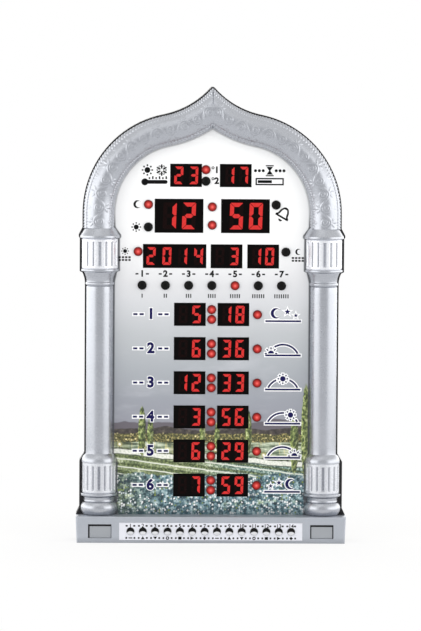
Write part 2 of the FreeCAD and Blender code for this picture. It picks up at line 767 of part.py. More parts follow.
def rear_housing():
    """The dark tray behind: hangers, slots, bosses, and recesses for the case screws."""
    body = sub_part("PartDesign::Body", "rear_housing")
    outside = sketch_on(body, "XZ_Plane", "housing_outside")
    draw(outside, housing_outline())
    block = pad(body, outside, "housing_depth", backwards=True)
    apex = [
        f"Edge{i}"
        for i, edge in enumerate(block.Shape.Edges, start=1)
        if edge.BoundBox.ZMin > block.Shape.BoundBox.ZMax - 0.01
    ]
    tip = body.newObject("PartDesign::Fillet", "housing_tip")
    tip.Base = (block, apex)
    bind(tip, Radius="tip_r")
    doc.recompute()
    back = [
        f"Edge{i}"
        for i, edge in enumerate(tip.Shape.Edges, start=1)
        if edge.BoundBox.YMin > number("housing_depth") - 0.01
    ]
    rounding = body.newObject("PartDesign::Chamfer", "housing_edges")
    rounding.Base = (tip, back)
    bind(rounding, Size="housing_edge_r")
    doc.recompute()
    inside = sketch_on(body, "XZ_Plane", "housing_inside")
    side = "(column_x + shaft_r - rim_seat)"
    arch_side = "(arch_x + arch_half - rim_seat)"
    right = [(side, "housing_wall"), (side, "column_top"), (arch_side, "column_top")]
    draw(inside, right + ogee("(arch_half - rim_seat)") + mirrored(right))
    pocket(body, inside, "wall_face")
    from_wall = "-wall_face"

    def rise(name, radius, centres, length):
        posts = sketch_on(body, "XZ_Plane", name, from_wall)
        draw_circles(posts, radius, centres)
        pad(body, posts, length)

    rise("case_posts", "boss_r", column_screws + arch_screws + plinth_screws, "wall_face")
    rise("board_posts", "pilot_r * 2", board_screws, "wall_face - board_back")
    rise("panel_pillars", "pillar_r", pillars, "wall_face - panel_t")
    rise("speaker_ring", "speaker_r", [("0", "speaker_z")], "speaker_seat")
    rise("speaker_posts", "speaker_boss_r", speaker_screws, "speaker_seat + speaker_rim")

    def sink(name, offset, radius, centres, depth, backwards):
        holes = sketch_on(body, "XZ_Plane", name, offset)
        draw_circles(holes, radius, centres)
        pocket(body, holes, depth, backwards=backwards)

    sink("speaker_bowl", "speaker_seat - wall_face", "speaker_r - speaker_seat_w",
         [("0", "speaker_z")], "speaker_seat", False)
    sink("case_recesses", "-housing_depth", "recess_r", case_screws, "housing_depth - boss_floor", True)
    sink("case_holes", "0", "pilot_r", case_screws, "boss_floor", False)
    sink("board_holes", "-board_back", "pilot_r", board_screws, "board_screw_l", False)
    sink("speaker_holes", "speaker_seat + speaker_rim - wall_face", "screw_r", speaker_screws,
         "small_screw_l", False)
    sink("jack_hole", "-housing_depth", "jack_hole_r",
         [("jack_x", "(housing_wall + control_rise + board_t + jack_axis_rise)")], "housing_wall", True)
    hangers(body)
    grille = sketch_on(body, "XZ_Plane", "speaker_slots", "-housing_depth")
    for i in range(int(number("slot_count"))):
        x = f"({i} - (slot_count - 1) / 2) * slot_pitch"
        draw_box(grille, x, "speaker_z", "slot_w", f"2 * sqrt(slot_reach^2 - ({x})^2)")
    pocket(body, grille, "housing_wall", backwards=True)
    vent = sketch_on(body, "XZ_Plane", "vent_slot", "-housing_depth")
    draw_box(vent, "-(vent_count - 1) * vent_pitch / 2", "vent_z", "vent_w", "vent_h")
    first = pocket(body, vent, "housing_wall", backwards=True)
    vents = body.newObject("PartDesign::LinearPattern", "vent_slots")
    vents.Originals = [first]
    vents.Direction = (vent, ["H_Axis"])
    bind(vents, Length="(vent_count - 1) * vent_pitch", Occurrences="vent_count")
    body.Tip = vents
    doc.recompute()
    floor = sketch_on(body, "XY_Plane", "control_posts", "housing_wall")
    middle = "(control_y + control_l / 2)"
    draw_circles(floor, "pilot_r * 2", [(f"(control_x {s} control_boss_x)", middle) for s in ("+", "-")])
    pad(body, floor, "control_rise")


def hangers(body):
    """Two keyholes: a round mouth for a screw's head and a slot above it for its neck."""
    mouths = sketch_on(body, "XZ_Plane", "hanger_mouths", "-housing_depth")
    draw_circles(mouths, "hanger_head_r", [("hanger_x", "hanger_z"), ("-hanger_x", "hanger_z")])
    pocket(body, mouths, "housing_wall", backwards=True)
    necks = sketch_on(body, "XZ_Plane", "hanger_necks", "-housing_depth")
    for side in ("", "-"):
        x, top = f"{side}hanger_x", "(hanger_z + hanger_rise)"
        draw(
            necks,
            [
                (f"{x} - hanger_slot_r", "hanger_z"),
                (f"{x} + hanger_slot_r", "hanger_z"),
                (f"{x} + hanger_slot_r", top, "hanger_slot_r", "left"),
                (x, f"{top} + hanger_slot_r", "hanger_slot_r", "left"),
                (f"{x} - hanger_slot_r", top),
            ],
        )
    pocket(body, necks, "housing_wall", backwards=True)


# ---- panel, digit modules and lamps --------------------------------------------------

modules = {
    "display_hours": [("-clock_x", "clock_z", "clock_w", "clock_h")],
    "display_minutes": [("clock_x", "clock_z", "clock_w", "clock_h")],
    "display_temperature": [("temperature_x", "top_z", "pair_w", "pair_h")],
    "display_waiting_time": [("waiting_x", "top_z", "pair_w", "pair_h")],
    "display_year": [("year_x", "date_z", "year_w", "date_h")],
    "display_month": [("month_x", "date_z", "pair_w", "date_h")],
    "display_day": [("day_x", "date_z", "pair_w", "date_h")],
    "prayer_hour_displays": [("-row_x", level, "pair_w", "pair_h") for level in row_levels],
    "prayer_minute_displays": [("row_x", level, "pair_w", "pair_h") for level in row_levels],
}
lamps = {
    "clock_colon_lamps": [("0", f"(clock_z {s} clock_colon)") for s in ("+", "-")],
    "row_colon_lamps": [("0", f"({level} {s} row_colon)") for level in row_levels for s in ("+", "-")],
    "row_lamps": [("row_lamp_x", level) for level in row_levels],
    "weekday_lamps": [(f"({i} * weekday_pitch)", "weekday_z") for i in range(-3, 4)],
    "status_lamps": [
        ("-noon_x", "(clock_z + noon_rise)"),
        ("-noon_x", "(clock_z - noon_rise)"),
        ("noon_x", "(clock_z + noon_rise)"),
        ("unit_x", "(top_z + unit_rise)"),
        ("unit_x", "(top_z - unit_rise)"),
        ("-calendar_x", "(date_z + calendar_rise)"),
        ("calendar_x", "(date_z + calendar_rise)"),
    ],
}


def picture_panel():
    """The printed panel, which the arch and columns cover at its edge."""
    body = sub_part("PartDesign::Body", "picture_panel")
    outline = sketch_on(body, "XZ_Plane", "panel_outline")
    right = [("(arch_x - panel_inset)", "panel_foot")]
    draw(outline, right + ogee("(-panel_inset)") + mirrored(right))
    pad(body, outline, "panel_t", backwards=True)
    windows = sketch_on(body, "XZ_Plane", "panel_windows")
    for group in modules.values():
        for x, z, width, height in group:
            draw_box(windows, x, z, f"{width} + 2 * window_gap", f"{height} + 2 * window_gap")
    pocket(body, windows, "panel_t")
    holes = sketch_on(body, "XZ_Plane", "lamp_holes")
    for group in lamps.values():
        draw_circles(holes, "lamp_r + lamp_gap", group)
    pocket(body, holes, "panel_t")


def digit_modules():
    """Black digit modules that stand on the main board, each filling its window."""
    for label, group in modules.items():
        source = doc.addObject("Part::Box", "one_" + label)
        width, height = group[0][2:]
        bind(source, Length=width, Width="board_y - display_recess", Height=height)
        place(source, f"-({width}) / 2", "0", f"-({height}) / 2")
        copies(label, source, [(x, "display_recess", z) for x, z, _, _ in group])


def panel_lamps():
    """Round lamps on the main board, each with a domed tip in front of the panel."""
    source = doc.addObject("PartDesign::Body", "one_lamp")
    section = sketch_on(source, "XY_Plane", "lamp_section")
    draw(
        section,
        [
            ("0", "-lamp_proud"),
            ("lamp_tip_r", "-lamp_proud"),
            ("lamp_r", "lamp_dome - lamp_proud"),
            ("lamp_r", "board_y"),
            ("0", "board_y"),
        ],
    )
    revolve(source, section)
    for label, group in lamps.items():
        copies(label, source, [(x, "0", z) for x, z in group])


# ---- boards and what they carry ------------------------------------------------------


def main_board():
    body = sub_part("PartDesign::Body", "main_board")
    outline = sketch_on(body, "XZ_Plane", "main_board_outline")
    draw(
        outline,
        [
            ("-board_half_w", "board_foot"),
            ("board_half_w", "board_foot"),
            ("board_half_w", "board_shoulder", "board_half_w", "left"),
            ("0", "board_shoulder + board_half_w", "board_half_w", "left"),
            ("-board_half_w", "board_shoulder"),
        ],
    )
    draw_circles(outline, "pilot_r", board_screws)
    pad(body, outline, "board_t", backwards=True)
    place(body, y="board_y")


def key_board():
    body = sub_part("PartDesign::Body", "key_board")
    outline = sketch_on(body, "XZ_Plane", "key_board_outline")
    draw_box(outline, "0", "key_z", "key_board_w", "key_board_h")
    draw_circles(outline, "pilot_r", key_screws)
    pad(body, outline, "board_t", backwards=True)
    place(body, y="key_board_y")


def main_board_chips():
    """Driver chips on the back of the main board."""
    source = doc.addObject("Part::Box", "one_chip")
    bind(source, Length="chip_w", Width="chip_t", Height="chip_l")
    spots = [
        (f"({side}chip_x - chip_w / 2)", "board_back", f"(chip_low + {i} * chip_rise)")
        for side in ("", "-")
        for i in range(3)
    ]
    copies("driver_chips", source, spots)


def control_board():
    box_part("control_board", "control_w", "control_l", "board_t", "control_x", "control_y", "control_foot")
    box_part("processor", "processor_w", "processor_w", "processor_t", "control_x + processor_w / 2",
             "control_middle - processor_w / 2", "control_face")
    box_part("temperature_sensor", "sensor_w", "sensor_l", "sensor_h", "sensor_x",
             "control_middle - sensor_l / 2", "control_face")


def power_jack():
    """The supply socket: a block on the control board with a bore and a centre pin."""
    body = sub_part("PartDesign::Body", "power_jack")
    face = sketch_on(body, "XZ_Plane", "jack_face")
    draw_box(face, "0", "jack_h / 2", "jack_w", "jack_h")
    pad(body, face, "jack_l")
    bore = sketch_on(body, "XZ_Plane", "jack_bore")
    draw_circles(bore, "jack_bore_r", [("0", "jack_axis_rise")])
    pocket(body, bore, "jack_bore_l", backwards=True)
    pin = sketch_on(body, "XZ_Plane", "jack_pin")
    draw_circles(pin, "jack_pin_r", [("0", "jack_axis_rise")])
    pad(body, pin, "jack_l")
    place(body, "jack_x", "wall_face - jack_gap", "control_face")


def memory_cell():
    """A coin cell on edge in its holder, which keeps the time when the power is off."""
    middle_z = "(control_face + cell_seat + cell_r)"
    holder = sub_part("PartDesign::Body", "cell_holder")
    block = sketch_on(holder, "XY_Plane", "holder_foot")
    draw_box(block, "0", "holder_l / 2", "holder_w", "holder_l")
    pad(holder, block, "holder_h")
    well = sketch_on(holder, "XZ_Plane", "holder_well")
    draw_circles(well, "cell_r + cell_gap", [("0", "cell_seat + cell_r")])
    pocket(holder, well, "cell_t + cell_gap")
    place(holder, "cell_x", "control_middle - holder_l / 2", "control_face")
    cell = sub_part("Part::Cylinder", "memory_cell")
    bind(cell, Radius="cell_r", Height="cell_t")
    cell.Placement = Placement(Vector(), Rotation(Vector(1, 0, 0), -90))
    place(cell, "cell_x", "control_middle - holder_l / 2 + cell_gap / 2", middle_z)


def ribbon():
    """Headers on the two boards and the flat cable between them."""
    low, high = "control_face", "(board_foot + header_h)"
    source = doc.addObject("Part::Box", "one_header")
    bind(source, Length="header_w", Width="header_l", Height="header_h")
    corner = "(cable_x - header_w / 2)"
    copies("cable_headers", source, [
        (corner, "(control_middle - header_l / 2)", low),
        (corner, "board_back", high),
    ])
    cable = sub_part("PartDesign::Body", "ribbon_cable")
    side = sketch_on(cable, "YZ_Plane", "cable_side")
    lower, upper = "control_middle", "(board_back + header_l / 2)"
    draw(
        side,
        [
            (f"{lower} - cable_t / 2", f"{low} + header_h"),
            (f"{lower} + cable_t / 2", f"{low} + header_h"),
            (f"{upper} + cable_t / 2", high),
            (f"{upper} - cable_t / 2", high),
        ],
    )
    pad(cable, side, "cable_w", midplane=True)
    place(cable, x="cable_x")


def speaker():
    """A slim speaker on its ring, its magnet towards the main board."""
    body = sub_part("PartDesign::Body", "speaker")
    section = sketch_on(body, "XZ_Plane", "speaker_section")
    draw(
        section,
        [
            ("0", "0"),
            ("basket_r", "0"),
            ("speaker_r", "0"),
            ("speaker_r", "speaker_rim"),
            ("basket_r", "speaker_rim"),
            ("magnet_r", "speaker_depth / 2"),
            ("magnet_r", "speaker_depth"),
            ("0", "speaker_depth"),
        ],
    )
    revolve(body, section)
    body.Placement = Placement(Vector(), Rotation(Vector(1, 0, 0), 90))
    place(body, "0", "wall_face - speaker_seat", "speaker_z")


# ---- screws --------------------------------------------------------------------------


def screw(name, length, away):
    """A screw along Y with a tapered head: away is 1 when its point is to the back."""
    source = doc.addObject("PartDesign::Body", name)
    section = sketch_on(source, "XY_Plane", name + "_section")
    sign = "" if away > 0 else "-"
    draw(
        section,
        [
            ("0", f"{sign}({length})"),
            ("screw_r", f"{sign}({length})"),
            ("screw_r", "0"),
            ("screw_head_r", "0"),
            ("screw_r", f"{sign}(-screw_head_h)"),
            ("0", f"{sign}(-screw_head_h)"),
        ],
    )
    revolve(source, section)
    return source


def screws():
    from_back = screw("one_case_screw", "case_screw_l", -1)
    copies("case_screws", from_back, [(x, "boss_floor", z) for x, z in case_screws])
    into_board = screw("one_board_screw", "board_screw_l - board_t / 2", 1)
    copies("board_screws", into_board, [(x, "board_y", z) for x, z in board_screws])
    short = screw("one_small_screw", "small_screw_l", -1)
    copies("key_board_screws", short, [(x, "(key_board_y + board_t)", z) for x, z in key_screws])
    into_wall = screw("one_speaker_screw", "small_screw_l - speaker_rim", 1)
    front = "(wall_face - speaker_seat - speaker_rim)"
    copies("speaker_screws", into_wall, [(x, front, z) for x, z in speaker_screws])


def blanking_plates():
    for label, side in (("blanking_plate_left", "-"), ("blanking_plate_right", "")):
        box_part(label, "plate_w", "plate_t", "plate_h", side + "plate_x",
                 "plinth_face + plate_recess", "key_z - plate_h / 2")


arch_frame()
column("column_left", "-")
column("column_right", "")
plinth_shell()
rear_housing()
picture_panel()
digit_modules()
panel_lamps()
key_strip()
for i, place_x in enumerate(key_places, start=1):
    key(f"button_{i:02d}", place_x)
key_switches()
key_board()
blanking_plates()
main_board()
main_board_chips()
control_board()
power_jack()
memory_cell()
ribbon()
speaker()
screws()
doc.recompute()

for thing in doc.Objects:
    if "Invalid" in thing.State or "Error" in thing.State:
        raise ValueError(f"{thing.Label} failed: {thing.State}")
for node in nodes:
    if node.Shape.isNull() or not node.Shape.isValid():
        raise ValueError(f"{node.Label} has no valid shape")

os.makedirs("parts", exist_ok=True)
for node in nodes:
    node.Shape.exportStep(f"parts/{node.Label}.step")
print(len(nodes), "sub-parts,", sum(len(node.Shape.Solids) for node in nodes), "solids")
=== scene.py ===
import math

import bmesh
import bpy
from mathutils import Matrix, Vector
from mathutils.kdtree import KDTree


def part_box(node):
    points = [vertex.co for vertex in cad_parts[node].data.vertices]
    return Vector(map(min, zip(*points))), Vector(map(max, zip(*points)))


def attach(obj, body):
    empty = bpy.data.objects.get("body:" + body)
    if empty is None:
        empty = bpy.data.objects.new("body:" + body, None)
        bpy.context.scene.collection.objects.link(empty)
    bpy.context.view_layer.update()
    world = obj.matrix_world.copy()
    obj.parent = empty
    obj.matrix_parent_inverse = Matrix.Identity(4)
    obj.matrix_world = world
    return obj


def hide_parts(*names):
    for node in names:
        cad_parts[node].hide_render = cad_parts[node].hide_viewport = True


# The azan clock's looks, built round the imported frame. +Z is up, and the face looks along -Y.
# The scene and the studio's settings are in metres, all other settings and outlines in millimetres.

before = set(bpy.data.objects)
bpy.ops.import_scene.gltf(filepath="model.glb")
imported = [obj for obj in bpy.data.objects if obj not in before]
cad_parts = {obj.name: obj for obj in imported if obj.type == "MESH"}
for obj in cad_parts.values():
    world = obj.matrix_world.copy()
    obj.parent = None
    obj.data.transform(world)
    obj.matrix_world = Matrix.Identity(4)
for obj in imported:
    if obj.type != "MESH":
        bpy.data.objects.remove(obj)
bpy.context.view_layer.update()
mm = 0.001
print("frame loaded:", len(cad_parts), "nodes")


def tint(*levels):  # a screen colour, 0 to 255, as scene-linear values
    shares = [level / 255 for level in levels]
    return (*[s / 12.92 if s <= 0.04045 else ((s + 0.055) / 1.055) ** 2.4 for s in shares], 1.0)


# Materials: sockets that take sums, and one method that adds any node.


class Wire:
    def __init__(self, maker, socket):
        self.maker = maker
        self.socket = socket

    def sum(self, operation, *values):
        return self.maker.add("Math", {"operation": operation}, dict(enumerate(values)))

    def __add__(self, other):
        return self.sum("ADD", self, other)

    def __radd__(self, other):
        return self.sum("ADD", other, self)

    def __sub__(self, other):
        return self.sum("SUBTRACT", self, other)

    def __rsub__(self, other):
        return self.sum("SUBTRACT", other, self)

    def __mul__(self, other):
        return self.sum("MULTIPLY", self, other)

    def __rmul__(self, other):
        return self.sum("MULTIPLY", other, self)

    def __truediv__(self, other):
        return self.sum("DIVIDE", self, other)

    def __rtruediv__(self, other):
        return self.sum("DIVIDE", other, self)

    def __abs__(self):
        return self.sum("ABSOLUTE", self)

    def root(self):
        return self.sum("SQRT", self)

    def fraction(self):
        return self.sum("FRACT", self)

    def rise(self, low, high):  # 0 below low, 1 above high, smooth between
        values = {"Value": self, "From Min": low, "From Max": high}
        return self.maker.add("MapRange", {"interpolation_type": "SMOOTHSTEP"}, values)

    def fall(self, low, high):
        return 1 - self.rise(low, high)

    def between(self, low, inner, outer, high):
        return self.rise(low, inner) * self.fall(outer, high)

    def within(self, low, high, outside, inside):  # faded so far outside and inside both ends
        return self.between(low - outside, low + inside, high - inside, high + outside)


def setStops(ramp, stops):
    while len(ramp.elements) < len(stops):
        ramp.elements.new(1.0)
    for element, (place, colour) in zip(ramp.elements, stops):
        element.position = place
        element.color = colour


class Finish:
    def __init__(self, name, owner=None):
        self.owner = owner or bpy.data.materials.new(name)
        self.owner.use_nodes = True
        self.tree = self.owner.node_tree
        self.tree.nodes.clear()

    def add(self, kind, settings=None, values=None, out=0):
        node = self.tree.nodes.new("ShaderNode" + kind)
        for key, value in (settings or {}).items():
            if key == "stops":
                setStops(node.color_ramp, value)
            else:
                setattr(node, key, value)
        for key, value in (values or {}).items():
            if isinstance(value, Wire):
                self.tree.links.new(value.socket, node.inputs[key])
            else:
                node.inputs[key].default_value = value
        if isinstance(out, tuple):
            return [Wire(self, node.outputs[name]) for name in out]
        return Wire(self, node.outputs[out])

    def ramp(self, value, stops):  # stops: a place, and the screen colour there
        return self.add("ValToRGB", {"stops": [(at, tint(*colour)) for at, *colour in stops]}, {0: value})

    def mix(self, share, first, second):
        return self.add("Mix", {"data_type": "RGBA"}, {0: share, 6: first, 7: second}, 2)

    def vector(self, operation, first, second):
        return self.add("VectorMath", {"operation": operation}, {0: first, 1: second})

    def shade(self, colour, share, low, high):  # a colour darkened and lightened about itself
        level = self.add("MapRange", {}, {"Value": share, "To Min": low, "To Max": high})
        grey = self.add("CombineXYZ", {}, {0: level, 1: level, 2: level})
        return self.vector("MULTIPLY", colour if isinstance(colour, Wire) else colour[:3], grey)

    def place(self):  # the point on the piece, in millimetres
        spot = self.add("TexCoord", out="Object")
        return self.add("VectorMath", {"operation": "SCALE"}, {0: spot, "Scale": 1 / mm})

    def parts(self, vector, *names):
        return self.add("SeparateXYZ", {}, {0: vector}, names)

    def noise(self, where, scale, detail=2.0, roughness=0.5):
        values = {"Vector": where, "Scale": scale, "Detail": detail, "Roughness": roughness}
        return self.add("TexNoise", {}, values, "Fac")

    def bump(self, height, depth, strength):
        return self.add("Bump", {}, {"Height": height, "Distance": depth * mm, "Strength": strength})

    def finish(self, **values):
        names = {key.replace("_", " "): value for key, value in values.items()}
        return self.close(self.add("BsdfPrincipled", {}, names, "BSDF"))

    def close(self, surface, kind="Material"):
        end = self.tree.nodes.new("ShaderNodeOutput" + kind)
        self.tree.links.new(surface.socket, end.inputs["Surface"])
        return self.owner


# Meshes: a part is a pair of points in millimetres and faces.


def trace(corners, steps=10):
    # (across, up) points; a corner may hold the radius of the arc that leaves it, over zero
    # where the arc's middle is on the left
    points = []
    for here, after in zip(corners, corners[1:]):
        start, end = Vector(here[:2]), Vector(after[:2])
        points.append(start)
        if len(here) == 2:
            continue
        radius, chord = here[2], end - start
        lift = math.sqrt(max(radius**2 - chord.length_squared / 4, 0))
        sideways = Vector((-chord.y, chord.x)).normalized() * lift
        centre = (start + end) / 2 + sideways * math.copysign(1, radius)
        first, last = (math.atan2(p.y - centre.y, p.x - centre.x) for p in (start, end))
        turn = (last - first + math.pi) % (2 * math.pi) - math.pi
        for i in range(1, steps):
            angle = first + turn * i / steps
            points.append(centre + abs(radius) * Vector((math.cos(angle), math.sin(angle))))
    points.append(Vector(corners[-1][:2]))
    return points


def soften(points, radius, steps=4, sharpest=22, longestShare=0.45):
    # corners sharper than so many degrees are rounded a little
    out = [points[0]]
    for before, here, after in zip(points, points[1:], points[2:]):
        a, b = before - here, after - here
        if min(a.length, b.length) < 1e-9:
            continue
        if 180 - math.degrees(a.angle(b)) < sharpest:
            out.append(here)
            continue
        start, end = (here + way.normalized() * min(radius, way.length * longestShare) for way in (a, b))
        for i in range(steps + 1):
            t = i / steps
            out.append(start * (1 - t) ** 2 + here * 2 * t * (1 - t) + end * t**2)
    out.append(points[-1])
    return out


def divide(points, longest):
    # runs longer than longest(up) are cut into equal pieces
    out = []
    for here, after in zip(points, points[1:]):
        count = max(1, math.ceil((after - here).length / longest((here.y + after.y) / 2)))
        out += [here.lerp(after, i / count) for i in range(count)]
    out.append(points[-1])
    return out


def loft(rings):
    # closed rings of as many points each, joined and capped
    count, total = len(rings[0]), len(rings)
    faces = [list(range(count)), list(range((total - 1) * count, total * count))]
    for i in range(0, (total - 1) * count, count):
        for j in range(count):
            k = (j + 1) % count
            faces.append([i + j, i + k, i + count + k, i + count + j])
    return [point for ring in rings for point in ring], faces


def lathe(profile, centre, steps=32):
    # turned about the Y axis: (radius, depth) pairs from the tip to the back
    return loft([[(x, depth, z) for x, z in circle(radius, centre, steps)] for radius, depth in profile])


def dome(radius, tip, base, rings, tipRadius):
    # (radius, depth) pairs of a half ellipse, from its tip to its base
    angles = [math.pi / 2 * (1 - i / rings) for i in range(rings + 1)]
    return [(max(radius * math.cos(a), tipRadius), base + (tip - base) * math.sin(a)) for a in angles]


def circle(radius, centre=(0, 0), count=40, first=0.0, last=360.0):
    span = math.radians(last - first)
    steps = count if abs(last - first - 360) < 1e-6 else count + 1
    angles = [math.radians(first) + span * i / count for i in range(steps)]
    return [(centre[0] + radius * math.cos(a), centre[1] + radius * math.sin(a)) for a in angles]


def bar(x0, z0, x1, z1):
    return [(x0, z0), (x1, z0), (x1, z1), (x0, z1)]


def mirrored(points):
    return points + [(-x, z) for x, z in reversed(points)]


def merge(parts):
    points, faces = [], []
    for some, shapes in parts:
        faces += [[i + len(points) for i in shape] for shape in shapes]
        points += some
    return points, faces


def put(name, data):
    thing = bpy.data.objects.new(name, data)
    bpy.context.scene.collection.objects.link(thing)
    return thing


def solidOf(curve, front, back, centre=(0, 0)):
    # a flat curve as a thin solid between two depths, stood up so that it faces the front
    curve.extrude = (back - front) / 2 * mm
    thing = put("scratch", curve)
    mesh = bpy.data.meshes.new_from_object(thing.evaluated_get(bpy.context.evaluated_depsgraph_get()))
    depth, spots = (front + back) / 2, [v.co / mm for v in mesh.vertices]
    faces = [list(p.vertices) for p in mesh.polygons]
    bpy.data.objects.remove(thing)
    bpy.data.meshes.remove(mesh)
    return [(spot.x + centre[0], depth - spot.z, spot.y + centre[1]) for spot in spots], faces


def flatPrint(loops, front, back, spread=0.0):
    # closed outlines in the XZ plane, an inner one being a hole
    curve = bpy.data.curves.new("print", "CURVE")
    curve.dimensions = "2D"
    curve.fill_mode = "BOTH"
    curve.offset = spread * mm
    for loop in loops:
        line = curve.splines.new("POLY")
        line.points.add(len(loop) - 1)
        line.use_cyclic_u = True
        for point, (x, z) in zip(line.points, loop):
            point.co = (x * mm, z * mm, 0, 1)
    return solidOf(curve, front, back)


def numberPrint(text, centre, height, front, back, bold, sizeOfFigure=1.38):
    # plain figures; the curve's size is so many times a figure's height
    curve = bpy.data.curves.new("figure", "FONT")
    curve.body = text
    curve.align_x = "CENTER"
    curve.align_y = "CENTER"
    curve.size = height * sizeOfFigure * mm
    curve.offset = bold * mm
    curve.resolution_u = 6
    return solidOf(curve, front, back, centre)


def piece(name, part, material, body="case", replaces=(), sharp=35):
    # a part as an object that rides its body
    points, faces = part
    mesh = bpy.data.meshes.new(name)
    mesh.from_pydata([Vector(p) * mm for p in points], [], faces)
    shaped = bmesh.new()
    shaped.from_mesh(mesh)
    bmesh.ops.recalc_face_normals(shaped, faces=shaped.faces)
    for face in shaped.faces:
        face.smooth = True
    for edge in shaped.edges:
        edge.smooth = len(edge.link_faces) == 2 and edge.calc_face_angle() < math.radians(sharp)
    shaped.to_mesh(mesh)
    shaped.free()
    mesh.materials.append(material)
    thing = put(name, mesh)
    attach(thing, body)
    if replaces:
        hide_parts(*replaces)


def nodeMiddles(node):
    # the middles of the separate solids of a node, from its mesh
    shaped = bmesh.new()
    shaped.from_mesh(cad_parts[node].data)
    bmesh.ops.remove_doubles(shaped, verts=shaped.verts, dist=mm / 1000)
    left, spots = set(shaped.verts), []
    while left:
        found = [left.pop()]
        for vert in found:  # found grows while it is walked
            near = {edge.other_vert(vert) for edge in vert.link_edges} & left
            left -= near
            found += near
        sides = [[vert.co[i] / mm for vert in found] for i in (0, 2)]
        spots.append(tuple((min(side) + max(side)) / 2 for side in sides))
    shaped.free()
    return sorted(spots, key=lambda p: (-round(p[1], 1), round(p[0], 1)))


def middleOf(node):
    low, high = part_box(node)
    return (low.x + high.x) / 2 / mm, (low.z + high.z) / 2 / mm


# Camera, lights and floor.

view = {
    "distance": 4.2,
    "height": 0.5,
    "turn": -1.1,  # degrees round the object
    "aim": (-0.0011, 0.0, 0.2166),
    "lens": 251.2,
    "sensor": 36,
    "clipEnd": 50,
    "roll": 0.34,
}
studio = {
    "front": 0.74,  # the room's level straight in front, at the sides, over the top and below
    "sides": 2.4,
    "over": 1.0,
    "under": 0.6,
    "aside": (-0.92, -0.66),  # where each of these levels starts and is full
    "high": (0.2, 0.62),
    "low": (0.15, 0.5),
    "screens": (1, 0.993, 0.97, 1),
    "keyWatts": 2.0,
    "keySize": 1.6,
    "keyPlace": (-0.6, -1.6, 2.2),
    "keyAim": (0, 0, 0.22),
    "floorSize": 1.6,
    "floorColour": (0.88, 0.88, 0.88, 1),
    "floorGlow": 0.8,  # the floor's own white near the object, all of it from floorFade on
    "floorFade": (0.2, 0.6),
}
white = (1, 1, 1, 1)


def turned(place, aim):
    return (Vector(aim) - Vector(place)).to_track_quat("-Z", "Y").to_matrix().to_euler()


def makeCamera():
    camera = bpy.data.cameras.new("camera")
    camera.lens = view["lens"]
    camera.sensor_width = view["sensor"]
    camera.clip_end = view["clipEnd"]
    thing = put("camera", camera)
    turn, away = math.radians(view["turn"]), view["distance"]
    thing.location = (away * math.sin(turn), -away * math.cos(turn), view["height"])
    thing.rotation_euler = turned(thing.location, view["aim"])
    thing.rotation_euler.rotate_axis("Z", math.radians(view["roll"]))
    bpy.context.scene.camera = thing


def makeLights():
    light = bpy.data.lights.new("keyLight", "AREA")
    light.size = studio["keySize"]
    light.energy = studio["keyWatts"]
    thing = put("keyLight", light)
    thing.location = studio["keyPlace"]
    thing.rotation_euler = turned(thing.location, studio["keyAim"])


def makeWorld():
    # pale screens that grow brighter towards both sides and over the top
    world = bpy.data.worlds.new("studio")
    bpy.context.scene.world = world
    maker = Finish("studio", world)
    depth, rise = maker.parts(maker.add("TexCoord", out="Generated"), "Y", "Z")
    aside = depth.rise(*studio["aside"])
    screens = studio["sides"] + (studio["over"] - studio["sides"]) * rise.rise(*studio["high"])
    screens = screens + (studio["under"] - screens) * (0 - rise).rise(*studio["low"])
    level = studio["front"] + (screens - studio["front"]) * aside
    seen = maker.add("LightPath", out="Is Camera Ray")
    strength = maker.add("Mix", {"data_type": "FLOAT"}, {0: seen, 2: level, 3: 1.0})
    colour = maker.mix(aside * (1 - seen), white, studio["screens"])
    maker.close(maker.add("Background", {}, {"Color": colour, "Strength": strength}), "World")


def makeFloor():
    half = studio["floorSize"]
    mesh = bpy.data.meshes.new("floor")
    mesh.from_pydata([(x, z, 0) for x, z in bar(-half, -half, half, half)], [], [(0, 1, 2, 3)])
    maker = Finish("floor")
    spot = maker.add("TexCoord", out="Object")
    away = maker.add("VectorMath", {"operation": "LENGTH"}, {0: spot}, "Value")
    seen, gloss = maker.add("LightPath", out=("Is Camera Ray", "Is Glossy Ray"))
    pale = maker.add("BsdfDiffuse", {}, {"Color": studio["floorColour"]})
    glow = maker.add("Emission", {}, {"Color": white, "Strength": 1.0})
    near = studio["floorGlow"]
    share = seen.sum("MAXIMUM", seen, gloss) * (near + (1 - near) * away.rise(*studio["floorFade"]))
    mesh.materials.append(maker.close(maker.add("MixShader", {}, {0: share, 1: pale, 2: glow})))
    put("floor", mesh)


makeCamera()
makeLights()
makeWorld()
makeFloor()
bpy.context.scene.view_settings.view_transform = "Standard"
print("camera, lights and floor made")

# Finishes.

silverColour = (0.45, 0.468, 0.512, 1)
silverMetal = 0.88
silverRough = 0.27
coat = {  # scales of the paint's noises, and how much they move the colour and the roughness
    "cloud": 0.05,
    "flake": 2.4,
    "peel": 0.9,
    "drift": (0.94, 1.05),
    "cloudRough": 0.08,
    "flakeRough": 0.1,
    "footShade": 0.8,
}
moulded = {"cloud": 0.06, "drift": (0.88, 1.12), "sparkRough": 0.12, "relief": 0.7}


def coated(maker, where, colour, metal, rough, grain, peel=0.02):
    # metallic paint: drifts, flakes of this grain, and an orange peel of this depth
    cloud, flake = maker.noise(where, coat["cloud"]), maker.noise(where, coat["flake"])
    colour = maker.shade(colour, cloud, *coat["drift"])
    return maker.finish(
        Base_Color=maker.shade(colour, flake, 1 - grain, 1 + grain),
        Metallic=metal,
        Roughness=rough + coat["cloudRough"] * (cloud - 0.5) + coat["flakeRough"] * (flake - 0.5),
        Normal=maker.bump(maker.noise(where, coat["peel"]), peel, 0.5),
    )


